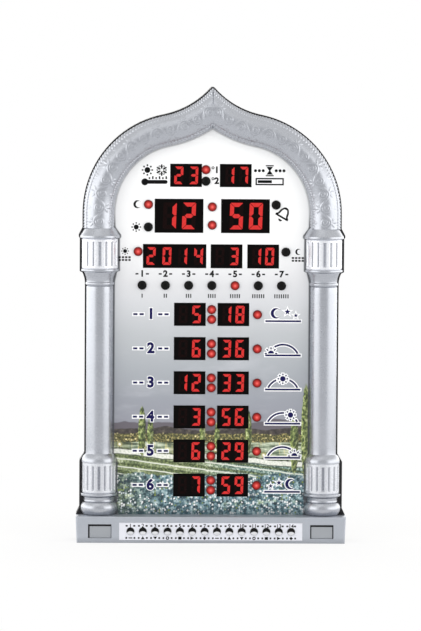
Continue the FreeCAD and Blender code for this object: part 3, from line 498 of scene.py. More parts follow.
def silverPaint(name, colour, metal, rough, grain, foot=0.0, peel=0.02):
    # foot: the height over the floor below which painted shade darkens the paint
    maker = Finish(name)
    where = maker.place()
    if foot:
        colour = maker.shade(colour, maker.parts(where, "Z")[0].rise(0.5, foot), coat["footShade"], 1.0)
    return coated(maker, where, colour, metal, rough, grain, peel)


def plastic(name, colour, rough, texture, depth, shine=0.5):
    # moulded plastic with a fine sparked texture
    maker = Finish(name)
    where = maker.place()
    sparks = maker.noise(where, texture, 3)
    return maker.finish(
        Base_Color=maker.shade(colour, maker.noise(where, moulded["cloud"]), *moulded["drift"]),
        Roughness=rough + moulded["sparkRough"] * (sparks - 0.5),
        Specular_IOR_Level=shine,
        Normal=maker.bump(sparks, depth, moulded["relief"]),
    )


silverMoulding = silverPaint("silverMoulding", silverColour, silverMetal, silverRough, 0.1, peel=0.1)
# the plinth's paint, with painted shade darkening it towards the floor
silverMatt = silverPaint("silverMatt", tint(181, 186, 195), 0.6, 0.36, 0.1, foot=7.0)
darkHousing = plastic("darkHousing", (0.013, 0.013, 0.015, 1), 0.55, 1.0, 0.1, shine=0.3)
boardGreen = plastic("boardGreen", (0.02, 0.12, 0.05, 1), 0.45, 0.5, 0.02)
blackPart = plastic("blackPart", (0.02, 0.02, 0.022, 1), 0.4, 2.0, 0.02)
greyCable = plastic("greyCable", (0.35, 0.35, 0.37, 1), 0.55, 1.0, 0.03)
paleStrip = plastic("paleStrip", tint(232, 234, 243), 0.35, 1.2, 0.01)
steel = silverPaint("steel", (0.6, 0.6, 0.62, 1), 1.0, 0.32, 0.04)
print("plain finishes made")

# Columns: turned mouldings with stopped flutes.

columnSizes = {
    "insetX": 22.0,  # from the plinth's end to the column's middle
    "topRise": 274.6,  # from the plinth to the arch
    "drums": ((21.2, 50.0), (236.1, 264.7)),  # from the plinth to the foot and the head of each
    "drumR": 17.3,
    "flutes": 7,
    "fluteTurn": 21.5,  # degrees from one flute to the next
    "fluteHalf": 1.6,
    "fluteDepth": 1.15,
    "fluteStop": 2.2,  # from a drum's end to a flute's
    "turnSteps": 190,
    "edge": 0.3,  # how much the mouldings' corners are rounded
    "fine": 0.4,  # the longest run in the drums and elsewhere
    "coarse": 6.0,
}
columnCorners = [  # radius, height over the plinth, and the arc that leaves the corner
    (14.7, 0.0, 8.6), (15.4, 12.2), (14.1, 12.7), (14.9, 13.3, -5.0), (15.2, 17.0), (14.2, 17.6),
    (17.0, 18.2), (17.6, 18.8), (17.6, 20.4), (17.0, 20.9), (15.6, 21.2), (16.3, 21.7), (16.3, 50.0),
    (16.7, 50.1), (16.7, 51.2, 9.5), (13.0, 58.7), (13.0, 219.0), (12.2, 219.6), (13.2, 220.1, 2.2),
    (13.2, 223.0), (12.8, 223.4, -22.0), (15.4, 232.6), (15.0, 233.0), (17.6, 233.4), (18.0, 233.8),
    (18.0, 235.5), (17.4, 235.9), (16.6, 236.1), (17.3, 236.6), (17.3, 264.1), (16.5, 264.6),
    (18.4, 265.0), (19.0, 265.5), (19.0, 267.5), (18.5, 268.1), (14.5, 274.6),
]
drumPaintedLight = {
    "groove": (1.0, 2.3),  # where a flute's painted shade starts to fade and where it ends
    "narrowed": 0.5,  # of that, for all but the middle flute
    "paintedHighlight": (0.5, 0.85),  # painted highlight on the ridges of the low and the high drum
    # the painted highlight's colour on the drums' ridges, then the painted shade's colour in the flutes and
    # its share
    "colour": tint(242, 244, 250),
    "fluteShade": tint(134, 136, 146),
    "fluteShadeShare": 0.3,
    "middleTurn": (0.16, 0.2),  # radians to the end of the middle flute
    "drumEdge": (0.4, 0.2),  # how far the paint fades outside and inside an end
    "fluteEdge": (0.3, 1.2),
    "dulled": 0.5,  # how much less metal there is under the painted highlight
}
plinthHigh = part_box("plinth_shell")[1]
plinthTop = plinthHigh.z / mm
columnX = plinthHigh.x / mm - columnSizes["insetX"]
drums = [(plinthTop + low, plinthTop + high) for low, high in columnSizes["drums"]]


def columnProfile():
    corners = [(corner[0], plinthTop + corner[1], *corner[2:]) for corner in columnCorners]

    def longest(up):
        return columnSizes["fine" if any(low < up < high for low, high in drums) else "coarse"]

    return divide(soften(trace(corners), columnSizes["edge"]), longest)


def fluteDepth(turn, up):
    # a rounded groove with soft lips, and rounded stops at both ends
    half, step = columnSizes["fluteHalf"], math.radians(columnSizes["fluteTurn"])
    nearest = round(turn / step)
    for low, high in drums:
        if low < up < high and abs(nearest) <= columnSizes["flutes"] // 2:
            stop = columnSizes["fluteStop"] + half
            along = max(low + stop - up, up - (high - stop), 0)
            away = math.hypot((turn - nearest * step) * columnSizes["drumR"], along) / half
            return columnSizes["fluteDepth"] * (0.5 + 0.5 * math.cos(math.pi * min(away, 1)))
    return 0.0


def columnPaint():
    # silver, with a painted highlight on the drums' ridges between the flutes and painted shade inside them
    maker = Finish("columnPaint")
    where = maker.place()
    x, y, z = maker.parts(where, "X", "Y", "Z")
    across = abs(x) - columnX
    turn = across.sum("ARCTAN2", across, 0 - y)
    step, stop = math.radians(columnSizes["fluteTurn"]), columnSizes["fluteStop"]
    unsigned = turn / step + 0.5 + 20  # whole steps are added, so that none is below zero
    nearest = abs(unsigned.fraction() - 0.5) * (step * columnSizes["drumR"])
    nearest = nearest / (1 - drumPaintedLight["narrowed"] * abs(turn).rise(*drumPaintedLight["middleTurn"]))
    paintedHighlight = fluted = 0
    for (low, high), level in zip(drums, drumPaintedLight["paintedHighlight"]):
        paintedHighlight = paintedHighlight + level * z.within(low, high, *drumPaintedLight["drumEdge"])
        fluted = fluted + z.within(low + stop, high - stop, *drumPaintedLight["fluteEdge"])
    # painted shade inside the flutes, with the painted highlight kept off them
    groove = fluted * nearest.fall(*drumPaintedLight["groove"])
    paintedHighlight = paintedHighlight * (1 - groove)
    colour = maker.mix(groove * drumPaintedLight["fluteShadeShare"], silverColour, drumPaintedLight["fluteShade"])
    colour = maker.mix(paintedHighlight, colour, drumPaintedLight["colour"])
    return coated(maker, where, colour, silverMetal - drumPaintedLight["dulled"] * paintedHighlight, silverRough, 0.05)


def makeColumns():
    finish, steps = columnPaint(), columnSizes["turnSteps"]
    turns = [math.pi * (i / steps - 0.5) for i in range(steps + 1)]
    for name, middle in (("column_left", -columnX), ("column_right", columnX)):
        rings = []
        for radius, up in columnProfile():
            reach = [(turn, radius - fluteDepth(turn, up)) for turn in turns]
            rings.append([(middle + r * math.sin(turn), -r * math.cos(turn), up) for turn, r in reach])
        piece("turned_" + name, loft(rings), finish, replaces=[name], sharp=50)


makeColumns()
print("columns made")

# Arch: a half-round moulding on the ogee line, with a vine in low relief.

archSizes = {
    "shift": 1.0,  # from the columns' middle out to the arch's
    "half": 14.5,
    "leg": 14.4,
    "radius": 80.0,
    "turn": 11.4,  # degrees left when the shoulder's arc ends
    "ogeeRadius": 98.3,
    "ogeeLong": 62.0,  # about as long as the ogee's arc
    "rowStep": 0.5,
    "columns": 112,
}
vine = {
    "period": 27.0,
    "sway": 5.2,
    "height": 0.36,
    "stem": 1.0,
    "reach": 13.4,  # how far across the moulding the vine goes
    "curl": 4.0,
    "curlTurn": 560,  # degrees from its start to its end
    "curlTaper": 0.8,
    "leaves": ((-1, 4.2), (1, 4.2), (0, 5.0)),  # lean and length of the three outside each bend
    "leafTurn": 52,
    "leafStart": 1.6,
    "leafWidth": 1.5,
    "flower": (10.4, 1.2),  # how far across, and its radius
    "samples": {"stem": 90, "curl": 69, "leaf": 11, "flower": 8},
    "beadAcross": (13.6, 18.4),
    "beadPitch": 2.8,
    "beadR": 1.15,
    "bead": 0.85,
    "mitre": 1.5,  # depth of the joint line at the tip
}
archX = columnX + archSizes["shift"]
springZ = plinthTop + columnSizes["topRise"] + archSizes["leg"]
shoulderX = archX - archSizes["radius"]
bothR = archSizes["radius"] + archSizes["ogeeRadius"]
turnAngle = math.radians(archSizes["turn"])
arcAngle = math.pi / 2 - turnAngle
ogeeX = shoulderX + bothR * math.sin(turnAngle)
ogeeZ = springZ + bothR * math.cos(turnAngle)


def vinePoints():
    # sampled points of the vine in one period: (along, across, width, share of the height)
    period, sway, samples = vine["period"], vine["sway"], vine["samples"]
    stem = [i / samples["stem"] for i in range(samples["stem"])]
    dots = [(period * t, sway * math.sin(2 * math.pi * t), vine["stem"], 1.0) for t in stem]
    for side, middle in ((1, period * 0.25), (-1, period * 0.75)):
        for i in range(samples["curl"] + 1):  # a curl in each bend, wound inwards
            t = i / samples["curl"]
            angle = math.radians(90 + vine["curlTurn"] * t) * side
            r = vine["curl"] * (1 - vine["curlTaper"] * t)
            across = -side * sway * 0.2 + r * math.sin(angle)
            dots.append((middle + r * math.cos(angle), across, 0.85 - 0.25 * t, 0.9))
        for lean, length in vine["leaves"]:
            angle = math.radians(90 + lean * vine["leafTurn"])
            for i in range(samples["leaf"] + 1):
                t = i / samples["leaf"]
                reach = vine["leafStart"] + length * t
                width = vine["leafWidth"] * math.sin(math.pi * (0.15 + 0.8 * t))
                across = side * (sway + reach * math.sin(angle))
                dots.append((middle + reach * math.cos(angle), across, width, 0.85))
        out, r = vine["flower"]
        for x, z in circle(r, ((middle + period / 2) % period, side * out), samples["flower"]):
            dots.append((x, z, 0.8, 0.8))
    return dots


def vineRelief():
    dots, period = vinePoints(), vine["period"]
    tree = KDTree(3 * len(dots))
    for shift in (-period, 0, period):
        for i, dot in enumerate(dots):
            tree.insert((dot[0] + shift, dot[1], 0), i)
    tree.balance()

    def height(s, across):
        leaf = bead = 0.0
        if abs(across) < vine["reach"]:
            for _, i, away in tree.find_n((s % period, across, 0), 5):
                t = max(0.0, 1 - away / max(dots[i][2], 0.3))
                leaf = max(leaf, dots[i][3] * t * t * (3 - 2 * t))
        for k, middle in enumerate(vine["beadAcross"]):
            along = (s / vine["beadPitch"] + 0.5 * k) % 1 - 0.5
            away = math.hypot(along * vine["beadPitch"], abs(across) - middle) / vine["beadR"]
            bead = max(bead, math.sqrt(max(0.0, 1 - away**2)))
        return vine["height"] * leaf + vine["bead"] * bead

    return height


def archLine(kind, t, off):
    # a row's distance along the moulding, its middle, and its way outwards
    leg, radius, ogeeRadius = archSizes["leg"], archSizes["radius"], archSizes["ogeeRadius"]
    if kind == "leg":
        return leg * t, (archX, springZ - leg * (1 - t)), (1.0, 0.0)
    if kind == "arc":
        angle = arcAngle * t
        out = (math.cos(angle), math.sin(angle))
        return leg + radius * angle, (shoulderX + radius * out[0], springZ + radius * out[1]), out
    past = (math.asin(ogeeX / (ogeeRadius - off)) - turnAngle) * t
    out = (math.sin(turnAngle + past), math.cos(turnAngle + past))
    along = leg + radius * arcAngle + ogeeRadius * past
    return along, (ogeeX - ogeeRadius * out[0], ogeeZ - ogeeRadius * out[1]), out


def archPoint(kind, t, turn, relief):
    half, aside = archSizes["half"], math.sin(turn)
    s, middle, out = archLine(kind, t, half * aside)
    r = half + relief(s, half * turn)
    if (kind, t) == ("ogee", 1):
        r -= vine["mitre"] * max(0.0, aside)
        return 0.0, -r * math.cos(turn), middle[1] + out[1] * r * aside
    return middle[0] + out[0] * r * aside, -r * math.cos(turn), middle[1] + out[1] * r * aside


def makeArch():
    # the right half from its foot to the tip, and the left half back down
    relief, columns = vineRelief(), archSizes["columns"]
    turns = [math.pi * (j / columns - 0.5) for j in range(columns + 1)]
    lengths = {"leg": archSizes["leg"], "arc": archSizes["radius"] * arcAngle, "ogee": archSizes["ogeeLong"]}
    rows = []
    for kind, long in lengths.items():
        count = math.ceil(long / archSizes["rowStep"])
        rows += [(kind, i / count) for i in range(count)]
    right = [[archPoint(kind, t, turn, relief) for turn in turns] for kind, t in rows + [("ogee", 1)]]
    left = [[(-x, y, z) for x, y, z in ring] for ring in right[-2::-1]]
    part = loft(right + left)
    piece("relief_arch", part, silverMoulding, replaces=["arch_frame"], sharp=50)


makeArch()
print("arch made")

# Printed panel: a pale sky over hills, a terraced park and garden beds, under a satin film.

columnEdge = [  # height over the plinth, and the column's radius there
    (0.0, 17.0), (12.0, 16.4), (18.0, 17.6), (21.1, 17.6), (21.3, 16.3), (51.0, 16.7), (58.7, 13.0),
    (223.0, 13.2), (233.0, 15.4), (233.4, 18.0), (264.6, 17.8), (265.0, 19.0), (268.0, 19.0),
    (274.0, 14.5), (276.0, 13.5),
]
skyStops = [  # millimetres up the panel, and the colour there
    (25, 122, 124, 138), (110, 148, 150, 162), (136, 155, 159, 169), (166, 171, 176, 183),
    (199, 190, 194, 199), (230, 213, 215, 220), (247, 224, 225, 229), (268, 238, 239, 242),
    (288, 248, 249, 251), (304, 250, 251, 253),
]
landscape = {  # heights up the panel
    "farHills": 114.0,
    "hills": 108.0,
    "grove": 103.0,
    "meadow": 95.0,
    "garden": 63.0,
    "path": 82.0,
    "pathFall": 0.07,  # how much the path drops to the right, for each millimetre
    "pathWide": 4.4,
    "terraces": 7.6,  # from one hedge to the next
    "lampPitch": 23.0,  # of the lamp posts on the path
    "lampTall": 4.4,
}
printed = {  # levels of a noise, and the colour there
    "slope": [(0.35, 42, 38, 37), (0.55, 70, 63, 60), (0.7, 94, 86, 76)],
    "grove": [(0.32, 26, 30, 22), (0.45, 66, 68, 40), (0.56, 124, 118, 66), (0.68, 226, 208, 140)],
    "meadow": [(0.34, 36, 54, 44), (0.43, 98, 118, 96), (0.52, 178, 192, 164), (0.62, 246, 248, 234)],
    "lawn": [(0.36, 44, 56, 38), (0.46, 106, 122, 82), (0.54, 158, 170, 124), (0.62, 226, 232, 202)],
    "farLawn": [(0.34, 30, 52, 54), (0.46, 98, 130, 124), (0.54, 150, 176, 164), (0.64, 232, 240, 234)],
    "hedge": [(0.34, 18, 28, 16), (0.5, 66, 82, 42), (0.62, 128, 146, 78)],
    "path": [(0.3, 204, 212, 196), (0.6, 248, 248, 240)],
    "bed": [(0.34, 10, 26, 34), (0.44, 48, 84, 96), (0.53, 118, 154, 164), (0.64, 196, 218, 222)],
    "leftBed": [(0.36, 22, 30, 16), (0.5, 84, 92, 48), (0.64, 170, 176, 112)],
    "darkPetals": [(0.0, 24, 40, 60), (0.35, 46, 78, 84)],
    "palePetals": [(0.56, 196, 214, 222), (0.85, 252, 253, 253)],
    "leaves": [(0.34, 30, 40, 26), (0.47, 98, 116, 60), (0.57, 176, 192, 112), (0.68, 242, 246, 196)],
}
poplars = [  # across, foot, height, half width
    (91.0, 60.0, 96.0, 4.6), (80.0, 66.0, 62.0, 4.0), (-58.0, 84.0, 38.0, 3.0), (-66.0, 82.0, 50.0, 3.6),
    (36.0, 84.0, 44.0, 3.2), (-8.0, 88.0, 34.0, 2.8), (6.0, 88.0, 28.0, 2.6),
]


def insideEdge(maker, x, z):
    # how far a point of the panel lies inside the edge of the mouldings that cover it
    widest, sudden = 20.0, 0.01  # a ramp holds shares, so the radii are taken as shares of widest
    edges = [((plinthTop + up) / springZ, (r / widest, r / widest, r / widest, 1)) for up, r in columnEdge]
    radius = maker.parts(maker.add("ValToRGB", {"stops": edges}, {0: z / springZ}), "X")[0] * widest
    across, half = abs(x), archSizes["half"]
    column = columnX - radius - across
    fromShoulder, up = across - shoulderX, z - springZ
    arc = archSizes["radius"] - half - (fromShoulder * fromShoulder + up * up).root()
    fromOgee, under = across - ogeeX, z - ogeeZ
    ogee = (fromOgee * fromOgee + under * under).root() - archSizes["ogeeRadius"] - half
    past = (fromShoulder * math.cos(turnAngle) - up * math.sin(turnAngle)).rise(-sudden, sudden)
    arch = ogee + (arc - ogee) * past
    return column + (arch - column) * z.rise(springZ - sudden, springZ + sudden)


class Picture:
    # a print that is laid over itself, one colour at a time
    def __init__(self, maker, colour):
        self.maker = maker
        self.colour = colour

    def lay(self, share, colour):
        colour = colour if isinstance(colour, Wire) else tint(*colour)
        self.colour = self.maker.mix(share, self.colour, colour)


def printedPanel():
    maker = Finish("printedPanel")
    where = maker.place()
    x, z = maker.parts(where, "X", "Z")
    top = skyStops[-1][0]
    sky = maker.ramp(z / top, [(up / top, *colour) for up, *colour in skyStops])
    along = maker.add("CombineXYZ", {}, {0: x, 1: 0.0, 2: 0.0})

    def stretched(across, up, *settings):
        return maker.noise(maker.vector("MULTIPLY", where, (across, 1.0, up)), *settings)

    def ridge(level, tall, scale, shift):
        return level + tall * (maker.noise(maker.vector("ADD", along, (shift, 0, 0)), scale, 4) - 0.5)

    def below(line, soft):
        return (line - z).rise(-soft, soft)

    def ramp(value, name):
        return maker.ramp(value, printed[name])

    def cells(scale, *names):
        return maker.add("TexVoronoi", {}, {"Vector": where, "Scale": scale, "Randomness": 1.0}, names)

    scenery = Picture(maker, sky)
    scenery.lay(stretched(1.0, 3.2, 0.016, 4, 0.55).rise(0.5, 0.75) * z.fall(180, 250) * 0.3, (212, 214, 222))
    fine, coarse = maker.noise(where, 0.5, 4, 0.6), maker.noise(where, 0.05, 3)
    scenery.lay(below(ridge(landscape["farHills"], 26.0, 0.014, 40), 0.8), (102, 97, 106))
    slope = ramp(maker.noise(where, 0.25, 3), "slope")
    scenery.lay(below(ridge(landscape["hills"], 18.0, 0.022, 300), 0.6), slope)
    scenery.lay(below(ridge(landscape["grove"], 7.0, 0.07, 90), 0.5), ramp(fine, "grove"))
    scenery.lay(cells(0.24, "Distance")[0].fall(0.1, 0.26) * z.between(94, 97, 101, 105), (255, 238, 178))

    # a bright meadow at the foot of the hills
    ripples, glints = stretched(0.22, 2.2, 0.2, 4, 0.6), stretched(1.0, 0.16, 0.34, 3, 0.55)
    meadow = Picture(maker, ramp(ripples * 0.75 + glints * 0.25, "meadow"))
    meadow.lay(glints.rise(0.54, 0.68) * z.rise(76, 92) * 0.85, (230, 212, 120))
    meadow.lay(coarse.rise(0.45, 0.6) * 0.5, (118, 126, 70))
    meadow.lay(z.rise(88, 94) * ripples.rise(0.56, 0.4) * 0.8, (40, 50, 32))
    scenery.lay(below(ridge(landscape["meadow"], 3.0, 0.05, 12), 0.5), meadow.colour)

    # terraces of lawn and hedge below the path
    bank = z - (landscape["path"] + ridge(0.0, 14.0, 0.016, 700) - x * landscape["pathFall"])
    lawn = Picture(maker, ramp(fine * 0.5 + coarse * 0.5, "lawn"))
    lawn.lay(x.rise(-30, 40), ramp(fine, "farLawn"))
    terrace = ((z + x * 0.13 + 3.0 * (coarse - 0.5)) / landscape["terraces"]).fraction()
    lawn.lay(terrace.between(0.06, 0.14, 0.36, 0.5) * 0.85, ramp(fine, "hedge"))
    lawn.lay(terrace.between(0.8, 0.86, 0.96, 1.0) * 0.85, (240, 243, 232))
    scenery.lay(bank.fall(-0.5, 0.5), lawn.colour)

    # the path, with its kerb, rail and lamp posts
    wide = landscape["pathWide"]
    scenery.lay(bank.between(-wide - 0.4, -wide + 0.4, -0.4, 0.4), ramp(fine, "path"))
    posts = abs((x * 0.17).fraction() - 0.5).rise(0.1, 0.3)
    scenery.lay(bank.between(-0.2, 0.3, 1.0, 1.6) * (1 - posts * 0.5), (52, 56, 36))
    scenery.lay((bank + wide).between(-1.3, -0.7, -0.3, 0.3) * 0.8, (70, 82, 66))
    pitch = landscape["lampPitch"]
    beside = abs((x / pitch + 0.3).fraction() - 0.5) * pitch
    over = bank - landscape["lampTall"]
    scenery.lay(beside.fall(0.25, 0.55) * bank.rise(-0.4, 0.1) * over.fall(-0.4, 0.2), (34, 38, 32))
    away = (beside * beside + over * over).root()
    scenery.lay(away.fall(0.4, 3.4) * 0.7, (250, 232, 150))
    scenery.lay(away.fall(0.9, 1.5), (255, 254, 238))

    # garden beds with flowers
    tone, bloom = cells(0.46, "Color", "Distance")
    pick = maker.parts(tone, "X")[0]
    leaf, patches = maker.noise(where, 0.2, 4, 0.65), stretched(1.0, 1.6, 0.045, 3, 0.6)
    petals, dense = bloom.fall(0.3, 0.62), patches.rise(0.4, 0.58)
    bed = Picture(maker, ramp(leaf, "bed"))
    bed.lay(x.fall(-100, -40) * 0.7, ramp(leaf, "leftBed"))
    bed.lay(petals * pick.fall(0.36, 0.42) * 0.9, ramp(pick, "darkPetals"))
    bed.lay(petals * (pick - 0.3 * (1 - dense)).rise(0.52, 0.58), ramp(pick, "palePetals"))
    bed.lay(patches.fall(0.3, 0.46) * 0.6, (22, 44, 62))
    bed.lay(patches.rise(0.58, 0.7) * leaf.rise(0.42, 0.6) * 0.6, (206, 220, 150))
    bed.lay(petals * pick.between(0.46, 0.5, 0.54, 0.58), (122, 140, 62))
    edge = ridge(landscape["garden"], 20.0, 0.02, 500) + ridge(0.0, 6.0, 0.15, 40)
    scenery.lay(below(edge, 0.6), bed.colour)

    leaves = ramp(stretched(1.0, 0.6, 0.42, 3, 0.6), "leaves")
    ragged = 2.4 * (maker.noise(where, 0.3) - 0.5)
    for across, foot, tall, width in poplars:
        up, side = (z - (foot + tall * 0.46)) / (tall / 2), (x - across + ragged) / width
        tree = Picture(maker, leaves)
        tree.lay(side.rise(-1.0, 1.0) * 0.7, (34, 40, 30))
        scenery.lay((side * side + up * up).fall(0.8, 1.05), tree.colour)
    scenery.lay(z.fall(25, 36) * 0.6, (30, 56, 66))
    # painted shade: a dark line on the panel along the mouldings' inner edge, fainter near the top of the
    # arch
    scenery.lay(insideEdge(maker, x, z).fall(0.5, 1.9) * (0.9 - 0.45 * z.rise(300, 316)), (58, 62, 70))
    dots = maker.noise(where, 3.0, 1)
    return maker.finish(
        Base_Color=maker.shade(scenery.colour, dots, 0.985, 1.015),
        Roughness=0.3 + 0.06 * (dots - 0.5),
        Coat_Weight=0.15,
        Coat_Roughness=0.2,
        Normal=maker.bump(maker.noise(where, 0.4), 0.01, 0.3),
    )


panelFinish = printedPanel()
print("panel print made")

# Digits: slanted seven-segment figures on black modules.

digitSizes = {
    "slant": 0.035,
    "width": 0.5,  # of the height
    "stroke": {25.4: 3.9, 16.8: 2.5},  # for each height
    "gap": 0.3,
    "corner": 0.9,
    "front": 0.22,
    "darkBehind": 0.1,  # how much further back the unlit bars lie
    "back": 0.44,
    "bevel": 0.06,
    "face": 0.94,  # of a bar's outline
}
big, small = digitSizes["stroke"]
segmentsOf = {
    "0": "abcdef", "1": "bc", "2": "abged", "3": "abgcd", "4": "fgbc", "5": "afgcd",
    "6": "afgedc", "7": "abc", "8": "abcdefg", "9": "abcdfg", " ": "",
}
shown = {  # module: its figures, their height and pitch, and how far they stand off its middle
    "display_hours": (["12"], big, 18.4, 0.3),
    "display_minutes": (["50"], big, 18.6, 0.7),
    "display_temperature": (["23"], small, 14.2, 0.2),
    "display_waiting_time": (["17"], small, 13.2, 1.0),
    "display_year": (["2014"], small, 15.1, 0.2),
    "display_month": ([" 3"], small, 13.6, 0.4),
    "display_day": (["10"], small, 12.4, 0.0),
    "prayer_hour_displays": ([" 5", " 6", "12", " 3", " 6", " 7"], small, 12.8, 0.0),
    "prayer_minute_displays": (["18", "36", "33", "56", "29", "59"], small, 12.6, 0.0),
}


def segmentOutline(key, high):
    # one bar, mitred against its neighbours, in a figure of this height about the origin
    wide, up, t = high * digitSizes["width"] / 2, high / 2, digitSizes["stroke"][high]
    gap, corner = digitSizes["gap"], digitSizes["corner"]
    flat = [(corner, 0), ((corner + gap) / 2, (corner - gap) / 2), (t + gap, t)]
    if key in "ad":
        points = mirrored([(wide - x, up - z) for x, z in flat])
    elif key == "g":
        points = mirrored([(wide - t / 2 - gap, 0), (wide - t - gap, t / 2)])
        points += [(-wide + t + gap, -t / 2), (wide - t - gap, -t / 2)]
    else:
        points = [(wide - z, up - x) for x, z in flat]
        points += [(wide - t, t / 2 + gap), (wide - t / 2, gap), (wide, gap)]
    across, over = -1 if key in "ef" else 1, -1 if key in "dce" else 1
    return [(x * across + z * over * digitSizes["slant"], z * over) for x, z in points]


def barSolid(outline, centre, front):
    # a bar with a narrow bevel round its face
    mx, mz = (sum(p[i] for p in outline) / len(outline) for i in (0, 1))
    depths = ((digitSizes["back"], 1.0), (front + digitSizes["bevel"], 1.0), (front, digitSizes["face"]))
    cx, cz = centre[0] + mx, centre[1] + mz
    return loft([[(cx + (x - mx) * share, depth, cz + (z - mz) * share) for x, z in outline]
                 for depth, share in depths])


def segmentGlow():
    maker = Finish("litSegment")
    colour = maker.mix(maker.noise(maker.place(), 0.5), tint(196, 34, 42), tint(230, 64, 56))
    return maker.finish(Base_Color=(0.05, 0.002, 0.002, 1), Roughness=0.4, Specular_IOR_Level=0.1,
                        Emission_Color=colour, Emission_Strength=1.0)


def makeDigits():
    lit, dark = [], []
    for node, (texts, high, pitch, shift) in shown.items():
        for text, (cx, cz) in zip(texts, nodeMiddles(node)):
            for i, figure in enumerate(text):
                centre = (cx + shift + (i - (len(text) - 1) / 2) * pitch, cz)
                for key in "abcdefg":
                    on = key in segmentsOf[figure]
                    front = digitSizes["front"] + (0 if on else digitSizes["darkBehind"])
                    (lit if on else dark).append(barSolid(segmentOutline(key, high), centre, front))
    off = plastic("darkSegment", (0.007, 0.002, 0.002, 1), 0.4, 1.5, 0.01, shine=0.05)
    piece("lit_segments", merge(lit), segmentGlow())
    piece("dark_segments", merge(dark), off)


makeDigits()
displayFace = plastic("displayFace", (0.0022, 0.0016, 0.0016, 1), 0.3, 1.4, 0.01, shine=0.05)
print("digits made")

# Lamps: domed, some lit.

lampSizes = {
    "r": 4.4,
    "straight": 0.6,
    "tip": 3.2,
    "seat": 0.4,
    "step": (0.4, 0.1),  # how much narrower it is behind its seat, and how soon
    "back": 9.4,
    "rings": 14,
    "tipR": 0.15,
    "near": 2.0,  # how far off its place a lit lamp may stand
}
litLamps = {  # the places of the lit ones, across and up, where None is any height
    "clock_colon_lamps": "all",
    "row_colon_lamps": "all",
    "row_lamps": "all",
    "weekday_lamps": [(22.2, None)],
    "status_lamps": [(-61.0, 322.6), (-6.2, 356.0), (-70.6, 277.6)],
}
lampGlowAndShade = [  # from the middle of a dome to its rim: the lamp's glow, with a painted highlight in the middle and painted shade towards the rim
    (0.0, 255, 128, 118), (0.2, 240, 92, 86), (0.45, 202, 52, 46), (0.7, 148, 24, 20), (0.92, 92, 12, 10),
    (1.0, 60, 8, 6),
]


def litLampFinish():
    # the lamp's own glow, with a painted highlight in the middle and painted shade towards the deep red rim,
    # worked out from how the dome faces
    maker = Finish("litLamp")
    normal = maker.parts(maker.add("NewGeometry", out="Normal"), "Y")[0]
    least = 0.08  # keeps the division below from running off at the rim
    facing = normal.sum("MAXIMUM", 0 - normal, least)
    wide, deep = lampSizes["r"] ** 2, (lampSizes["tip"] - lampSizes["straight"]) ** 2
    lean = (1 / (facing * facing) - 1) * wide
    colour = maker.ramp((lean / (lean + deep)).root(), lampGlowAndShade)
    return maker.finish(Base_Color=(0.03, 0.002, 0.002, 1), Roughness=0.3, Specular_IOR_Level=0.2,
                        Emission_Color=colour, Emission_Strength=0.95)


def makeLamps():
    r, seat, (narrower, deeper) = (lampSizes[name] for name in ("r", "seat", "step"))
    near = lampSizes["near"]
    profile = dome(r, -lampSizes["tip"], -lampSizes["straight"], lampSizes["rings"], lampSizes["tipR"])
    profile += [(r, seat), (r - narrower, seat + deeper), (r - narrower, lampSizes["back"])]
    red, black = litLampFinish(), plastic("darkLamp", (0.003, 0.003, 0.003, 1), 0.3, 1.5, 0.01, shine=0.12)
    for node, which in litLamps.items():
        lit, dark = [], []
        for x, z in nodeMiddles(node):
            on = which == "all" or any(abs(x - a) < near and abs(z - (b or z)) < near for a, b in which)
            (lit if on else dark).append(lathe(profile, (x, z)))
        piece("lit_" + node, merge(lit), red, replaces=[node])
        if dark:
            piece("dark_" + node, merge(dark), black)


makeLamps()
print("lamps made")

# Keys: black caps with a painted highlight on their lower part, on square stems.

keySizes = {"count": 14, "r": 3.5, "dome": 0.7, "length": 5.0, "stem": 3.0, "stemLength": 2.8, "tipR": 0.1}
keyColourAndHighlight = {  # the cap is black, with a painted highlight: a pale disc low on its face
    "centre": -4.3,
    "r": 4.5,
    "blur": 0.35,
    "black": tint(9, 9, 10),
    "pale": tint(226, 227, 232),
}
keyNodes = [f"button_{i + 1:02d}" for i in range(keySizes["count"])]


def keyCapFinish():
    maker = Finish("keyCap")
    where = maker.place()
    x, z = maker.parts(where, "X", "Z")
    (first, middle), (last, _) = middleOf(keyNodes[0]), middleOf(keyNodes[-1])
    pitch = (last - first) / (len(keyNodes) - 1)
    across, up = ((x / pitch).fraction() - 0.5) * pitch, z - (middle + keyColourAndHighlight["centre"])
    away = (across * across + up * up).root()
    # painted highlight: the pale disc low on each cap
    pale = away.fall(keyColourAndHighlight["r"] - keyColourAndHighlight["blur"], keyColourAndHighlight["r"] + keyColourAndHighlight["blur"])
    grain = maker.noise(where, 1.8)
    return maker.finish(
        Base_Color=maker.shade(maker.mix(pale, keyColourAndHighlight["black"], keyColourAndHighlight["pale"]), grain, 0.9, 1.1),
        Roughness=0.22 + 0.1 * grain,
        Specular_IOR_Level=0.18,
        Normal=maker.bump(grain, 0.008, 0.5),
    )


def makeKeys():
    finish, half = keyCapFinish(), keySizes["stem"] / 2
    for i, node in enumerate(keyNodes):
        x, z = middleOf(node)
        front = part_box(node)[0].y / mm
        back = front + keySizes["length"]
        profile = dome(keySizes["r"], front, front + keySizes["dome"], 9, keySizes["tipR"])
        cap = lathe(profile + [(keySizes["r"], back)], (x, z), 40)
        square = bar(x - half, z - half, x + half, z + half)
        stem = loft([[(a, depth, b) for a, b in square] for depth in (back, back + keySizes["stemLength"])])
        piece(f"cap_{i + 1:02d}", merge([cap, stem]), finish, f"key_{i + 1:02d}", [node])


makeKeys()
print("keys made")

# Blanking plates, set back in the plinth's ends, with a black strip of painted shadow round the top and the
# sides.

